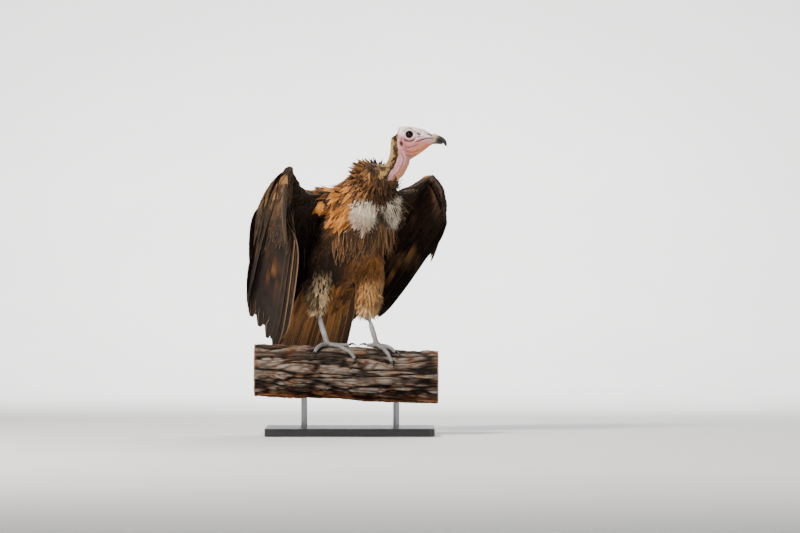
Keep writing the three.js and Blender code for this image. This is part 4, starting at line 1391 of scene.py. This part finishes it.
def make_tail(materials):
    flight, covert = materials
    count = TAIL_FEATHERS
    shares = 0.5 + 1.05 * ((np.arange(count) + 0.5) / count - 0.5)
    random = np.random.default_rng(61)
    t = np.linspace(0, 1, FLIGHT_STEPS + 1)
    s, along = np.broadcast_arrays(shares[:, None], t)
    spine = tail_surface(s, t[None] * (1 - 0.01 * random.random((count, 1))))
    back = facing_out(tail_surface, s, along, bird([60, 0, 260]))
    order = 1 - np.abs(2 * shares - 1)
    spine = spine + back * ((order - 0.5) * 0.005)[:, None, None]
    tint = blend(colour("6a4120"), colour("b47a3c"), random.random((count, 1)))
    tint = blend(tint, colour("2e2018"), 0.85 * ease(0.72, 0.95, shares)[:, None])
    shade = blend(tint[:, None], tint[:, None] * 0.45, ease(0.45, 1.0, t)[None, :, None])
    shade = blend(shade[:, :, None], colour("2c1c12"), 0.8 * OUTER_FACE)
    widths = np.outer(np.full(count, 17 * MM), profile(FLIGHT_OUTLINE, FLIGHT_STEPS))
    corner, size = strip_map(count)
    piece = feathers("tail_vanes", spine, back, widths, shade, blend(shade, colour("d0a068"), 0.5), corner,
                     random, section=SHAFTED, thick=0.7, cup=0.1,
                     tilt=np.where(shares < 0.5, -0.08, 0.08), patch_size=size)
    finish_piece(piece, flight, "covert", "tail")
    for side, label in ((-1, "upper"), (1, "under")):
        covert_rows(f"tail_coverts_{label}", tail_surface, side, TAIL_COVERT_ROWS, 63, covert,
                    tail_covert_colour, (0.04, 0.96))


# ---- bill, eyes, claws, perch and stand ----------------------------------------------------
def make_bill(material):
    for part in ("bill_upper", "bill_lower"):
        piece = smooth_copy(f"{part}_horn", [part], HORN_VOXEL, rounds=6)
        places = positions(piece)
        if part == "bill_lower":
            places[:, 2] += 0.10 * np.maximum(places[:, 0] - 0.216, 0)
        places[:, 0] -= 0.003 * ease(0.2195, 0.2165, places[:, 0])
        move_to(piece, places)
        finish_piece(piece, material, "horn", part)


def make_claws(material):
    for side in SIDES:
        for toe in TOES:
            node = f"claw_{side}_{toe}"
            horn = smooth_copy(f"{node}_horn", [node], HORN_VOXEL, rounds=3)
            finish_piece(horn, material, "claw", node)


def make_eyes(material):
    for side, sign in (("right", -1), ("left", 1)):
        deselect()
        bpy.ops.mesh.primitive_uv_sphere_add(segments=48, ring_count=32, radius=EYE_RADIUS,
                                             location=(EYE_X, HEAD_Y + sign * EYE_SPREAD, EYE_Z),
                                             rotation=(math.radians(90), 0, 0))
        eye = bpy.context.object
        eye.name = f"eye_{side}_ball"
        bpy.ops.object.transform_apply(location=True, rotation=True, scale=True)
        places = positions(eye)
        middle = np.array([EYE_X, HEAD_Y + sign * EYE_SPREAD, EYE_Z])
        aim = np.array([0.0, sign, 0.0])
        out = unit(places - middle)
        bulge = ease(0.86, 1.0, (out @ aim)) * 0.0005
        move_to(eye, places + out * bulge[:, None])
        bpy.ops.object.shade_smooth_by_angle(angle=math.radians(180))
        finish_piece(eye, material, "eye", f"eye_{side}")


def make_perch(material):
    """The branch with its bark: long wavy ridges between deep furrows, smoother under the feet."""
    perch = smooth_copy("perch_bark", ["perch"], BARK_VOXEL, rounds=2)
    places = positions(perch)
    x = places[:, 0]
    middle_z = PERCH_TOP + (-71 - 0.032 * x / MM - 2.5 * np.sin(x / MM / 90)) * MM
    dy, dz = places[:, 1], places[:, 2] - middle_z
    angle = np.arctan2(-dy, dz)
    low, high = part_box("perch")
    to_end = np.minimum(x - low.x, high.x - x)
    kept = 1 - ease(0.0045, 0.001, to_end)
    flat = np.stack([x * 0.16, 0.069 * np.cos(angle), 0.069 * np.sin(angle)], -1)
    warp = 0.009 * noise(flat * [2.2, 1, 1], 0.03, 21)
    wavy = flat + np.stack([0.4 * warp, warp, -warp], -1)
    ridge = 0.6 * ease(0, 0.5, np.abs(noise(wavy, 0.0115, 22)))
    ridge += 0.4 * ease(0, 0.55, np.abs(noise(wavy, 0.0048, 23)))
    grain = noise(flat * [3, 1, 1], 0.004, 24)
    top = ease(0.35, 0.8, np.cos(angle)) * ease(0.14, 0.10, np.abs(x - 0.01))
    under = ease(-0.62, -0.95, np.cos(angle) + 0.32 * noise(flat * [2, 1, 1], 0.024, 25))
    deep = 0.0075 * (1 - 0.6 * top) * (1 - 0.5 * under)
    lift = deep * (ridge - 1) + 0.0009 * grain + 0.0012
    around = np.stack([np.zeros_like(dy), dy, dz], -1)
    places = places + unit(around) * (lift * kept)[:, None]
    places[:, 0] += 0.0008 * (1 - kept) * np.sign(x) * noise(places, 0.004, 26)
    move_to(perch, places)
    put_points(perch.data, "groove", "FLOAT", (1 - ridge) * kept)
    put_points(perch.data, "under", "FLOAT", 0.85 * under * kept)
    sawn = ease(0.6, 0.9, np.abs(normals(perch)[:, 0])) * ease(0.004, 0.002, to_end)
    put_points(perch.data, "sawn", "FLOAT", sawn)
    finish_piece(perch, material, "bark", "perch")


def make_stand(lacquer, steel):
    base = copy_of("stand_base_board", "stand_base")
    with_modifier(base, "BEVEL", width=0.003, segments=4, limit_method="ANGLE", angle_limit=math.radians(40))
    bpy.ops.object.shade_smooth_by_angle(angle=math.radians(35))
    finish_piece(base, lacquer, "stand", "stand_base")
    for rod in ("stand_rod_left", "stand_rod_right"):
        NODES[rod].data.materials.clear()
        NODES[rod].data.materials.append(steel)


# ---- studio --------------------------------------------------------------------------------
def area_light(name, place, aim, size, power, tint=(1, 1, 1)):
    lamp = bpy.data.lights.new(name, "AREA")
    lamp.shape = "SQUARE"
    lamp.size = size
    lamp.energy = power
    lamp.color = tint
    lamp_object = bpy.data.objects.new(name, lamp)
    bpy.context.collection.objects.link(lamp_object)
    lamp_object.location = place
    lamp_object.rotation_euler = (Vector(aim) - Vector(place)).to_track_quat("-Z", "Y").to_euler()


# the lens covers this width at the model, in metres, from the camera's distance
VIEW_WIDTH = 2.088
CAMERA_AWAY = 12
SENSOR_WIDTH = 36


def make_studio():
    deselect()
    bpy.ops.mesh.primitive_plane_add(size=24, location=(0, 0, -0.0005))
    floor = bpy.context.object
    floor.name = "floor"
    bpy.ops.object.mode_set(mode="EDIT")
    bpy.ops.mesh.subdivide(number_cuts=30)
    bpy.ops.object.mode_set(mode="OBJECT")
    places = positions(floor)
    places[:, 2] += 3.0 * ease(4.5, 11, places[:, 1])
    move_to(floor, places)
    bpy.ops.object.transform_apply(location=True)
    bpy.ops.object.shade_smooth_by_angle(angle=math.radians(60))
    floor.data.materials.append(floor_finish())
    area_light("key", (-2.0, -2.2, 2.7), (0.0, 0.0, 0.5), 0.8, 230, (1.0, 0.93, 0.84))
    area_light("fill", (2.6, -2.6, 1.2), (0.0, 0.0, 0.45), 2.4, 42, (0.95, 0.97, 1.0))
    area_light("rim", (0.8, 2.4, 2.4), (0.0, 0.0, 0.5), 1.6, 90)
    area_light("backdrop", (0.0, 3.4, 4.2), (0.0, 10.0, 1.0), 3.0, 900)
    world = bpy.data.worlds.new("studio")
    bpy.context.scene.world = world
    world.use_nodes = True
    sky = world.node_tree.nodes["Background"]
    sky.inputs["Color"].default_value = (0.86, 0.9, 0.95, 1)
    sky.inputs["Strength"].default_value = 0.42
    camera = bpy.data.cameras.new("camera")
    camera.sensor_width = SENSOR_WIDTH
    camera.lens = SENSOR_WIDTH * CAMERA_AWAY / VIEW_WIDTH
    camera_object = bpy.data.objects.new("camera", camera)
    bpy.context.collection.objects.link(camera_object)
    camera_object.location = (0.13, -CAMERA_AWAY, 0.439)
    camera_object.rotation_euler = (math.radians(90), 0, 0)
    camera.clip_end = 100
    bpy.context.scene.camera = camera_object


# ---- the model -----------------------------------------------------------------------------
plume = feather_finish("plume", barbs=26, shaft=0.35)
flight = feather_finish("flight_vane", barbs=120, shaft=0.6, rim_from=0.84, roughness=0.6, tip=0.0)
covert = feather_finish("covert_vane", barbs=40, shaft=0.5, rim_from=0.6)
downy = feather_finish("down_tuft", barbs=14, shaft=0.0, rim_from=0.3, roughness=0.9)

skin = make_skin()
finish_piece(skin, skin_finish(), "skin", *SKIN_NODES)
body = Surface(skin)


def zone_of(test):
    """A scatter test on x and height, the front and crop shares, forward and left, and the normal."""
    def where(middle, facing):
        x, h = side_view(middle)
        f, l, _ = bird_frame(middle).T
        return test(x, h, front_share(middle), crop_share(middle), f, l, facing)
    return where


def on_trunk(f, l, h):
    """Inside the trunk's own space and not out on an arm."""
    axis = np.interp(h, SPINE_UP, SPINE_FORWARD)
    return (np.abs(l) < 94) & (h > 112) & (np.hypot(f - axis, l) < 125)


def on_wool(middle, facing):
    low = middle[:, 0] > 0.074 - 0.5 * np.maximum(middle[:, 2] - 0.71, 0)
    return ((wool_share(middle) > 0.5) & (np.abs(middle[:, 1] - HEAD_Y) < 0.06) & low
            & (middle[:, 2] > PERCH_TOP + 0.440))


def on_collar(middle, facing):
    """Round the base of the neck, below its wool and its bare front."""
    x, h = side_view(middle)
    gap = np.linalg.norm(middle - RUFF_MIDDLE, axis=1)
    return (gap < 0.072) & (h > 405) & ~on_wool(middle, facing) & ((h < neck_line(x)) | (x < 84))


coat("back_feathers", body, 101,
     zone_of(lambda x, h, front, crop, f, l, n: on_trunk(f, l, h) & (front < 0.5) & (h < 470)),
     9.5, 42, 8.0, 8.0, CONTOUR, material=plume)
coat("belly_feathers", body, 102,
     zone_of(lambda x, h, front, crop, f, l, n: on_trunk(f, l, h) & (front >= 0.5) & (h < 318)),
     6.2, 38, 3.7, 7.5, POINTED, material=plume, swing=0.15)
coat("breast_feathers", body, 103,
     zone_of(lambda x, h, front, crop, f, l, n: on_trunk(f, l, h) & (front >= 0.5) & (h >= 306)
             & (h < neck_line(x)) & (crop < 0.5)),
     8.0, 42, 5.4, 8.0, POINTED, material=plume, swing=0.14)
coat("shoulder_hackles", body, 109,
     zone_of(lambda x, h, front, crop, f, l, n: (np.abs(l) < 112) & (n[:, 1] < 0.15) & (x > -92) & (h < 470)
             & (h > 338 - 0.75 * np.minimum(x + 22, 0)) & (x < 34 - 0.3 * (h - 350)) & (crop < 0.4)),
     11.5, 50, 7.0, 15.0, (0.35, 0.85, 1.0, 0.92, 0.6, 0.08), paint=hackle_colour, material=plume,
     swing=0.16, steps=5, hug=0.7)
coat("side_plumes", body, 110,
     zone_of(lambda x, h, front, crop, f, l, n: on_trunk(f, l, h) & (x > 100) & (h > 335)
             & (h < neck_line(x) - 24) & (f > 0) & (crop < 0.8)),
     7.0, 60, 4.0, 36.0, POINTED, flow=side_flow, paint=side_colour, material=plume, swing=0.12,
     steps=5, hug=0.06)
coat("crop_down", body, 104,
     zone_of(lambda x, h, front, crop, f, l, n: crop > 0.35),
     2.7, 17, 1.25, 9.0, DOWNY, flow=fluffy_flow, paint=white_down, material=downy,
     steps=3, swing=0.3, hug=0.6)
coat("crop_side_down", body, 113,
     zone_of(lambda x, h, front, crop, f, l, n: (crop > 0.4) & (x > 84)),
     3.6, 30, 1.4, 24.0, DOWNY, flow=side_flow, paint=white_down, material=downy, swing=0.35, hug=0.12)


def on_legging(x, h, f, low):
    """On either thigh, above the bare shank, at the height where its feathers still end on it."""
    near = (np.abs(x + 87) < 38) | (np.abs(x - 49) < 48)
    return near & (h < 205) & (h > low + 9 * (x < 0)) & (f > -88)


coat("leggings", body, 105,
     zone_of(lambda x, h, front, crop, f, l, n: on_legging(x, h, f, 92)),
     4.6, 20, 2.4, 9.0, DOWNY, flow=down_flow, paint=legging_colour, material=downy, slot="down", swing=0.2,
     hug=0.7)
coat("heel_fluff", body, 112,
     zone_of(lambda x, h, front, crop, f, l, n: on_legging(x, h, f, 92) & (h < 145)),
     4.4, 21, 2.2, 16.0, DOWNY, flow=down_flow, paint=legging_colour, material=downy, slot="down", swing=0.25,
     hug=0.35)
coat("heel_puff", body, 115,
     zone_of(lambda x, h, front, crop, f, l, n: on_legging(x, h, f, 96) & (x < -86) & (h < 185)),
     4.2, 22, 2.2, 27.0, DOWNY, flow=down_flow, paint=legging_colour, material=downy, slot="down", swing=0.25,
     hug=0.06)
coat("vent_fluff", body, 114,
     zone_of(lambda x, h, front, crop, f, l, n: on_trunk(f, l, h) & (h < 170) & (l < 62) & (l > -40)
             & (f > -100)),
     6.5, 46, 3.2, 15.0, DOWNY, flow=down_flow, paint=vent_colour, material=downy, swing=0.2, hug=0.25)
coat("nape_wool", body, 106, on_wool,
     2.0, 7.0, 0.85, 2.4, DOWNY, flow=neck_flow, paint=wool_colour, material=downy, steps=2, swing=0.35)
coat("collar_feathers", body, 116, on_collar, 6.0, 27, 4.0, 9.0, POINTED, flow=collar_flow, paint=ruff_colour,
     material=plume, swing=0.22, steps=4, hug=0.5)
make_ruff(body, plume)
make_breast_points(body, plume)
coat("arm_coverts", body, 108,
     zone_of(lambda x, h, front, crop, f, l, n: (np.abs(l) > 66) & (h > 300) & (h < 500)
             & ((np.abs(l) > 90) | (h > 340)) & (f < 125)),
     7.6, 26, 5.8, 4.0, CONTOUR, flow=arm_flow, paint=arm_colour, material=covert, slot="covert", swing=0.06)

for wing_name in SIDES:
    make_wing(wing_name, (flight, covert))
make_tail((flight, covert))
make_bill(bill_finish())
make_claws(claw_finish())
make_eyes(eye_finish())
make_perch(bark_finish())
make_stand(stand_finish(), steel_finish())
make_studio()
deselect()
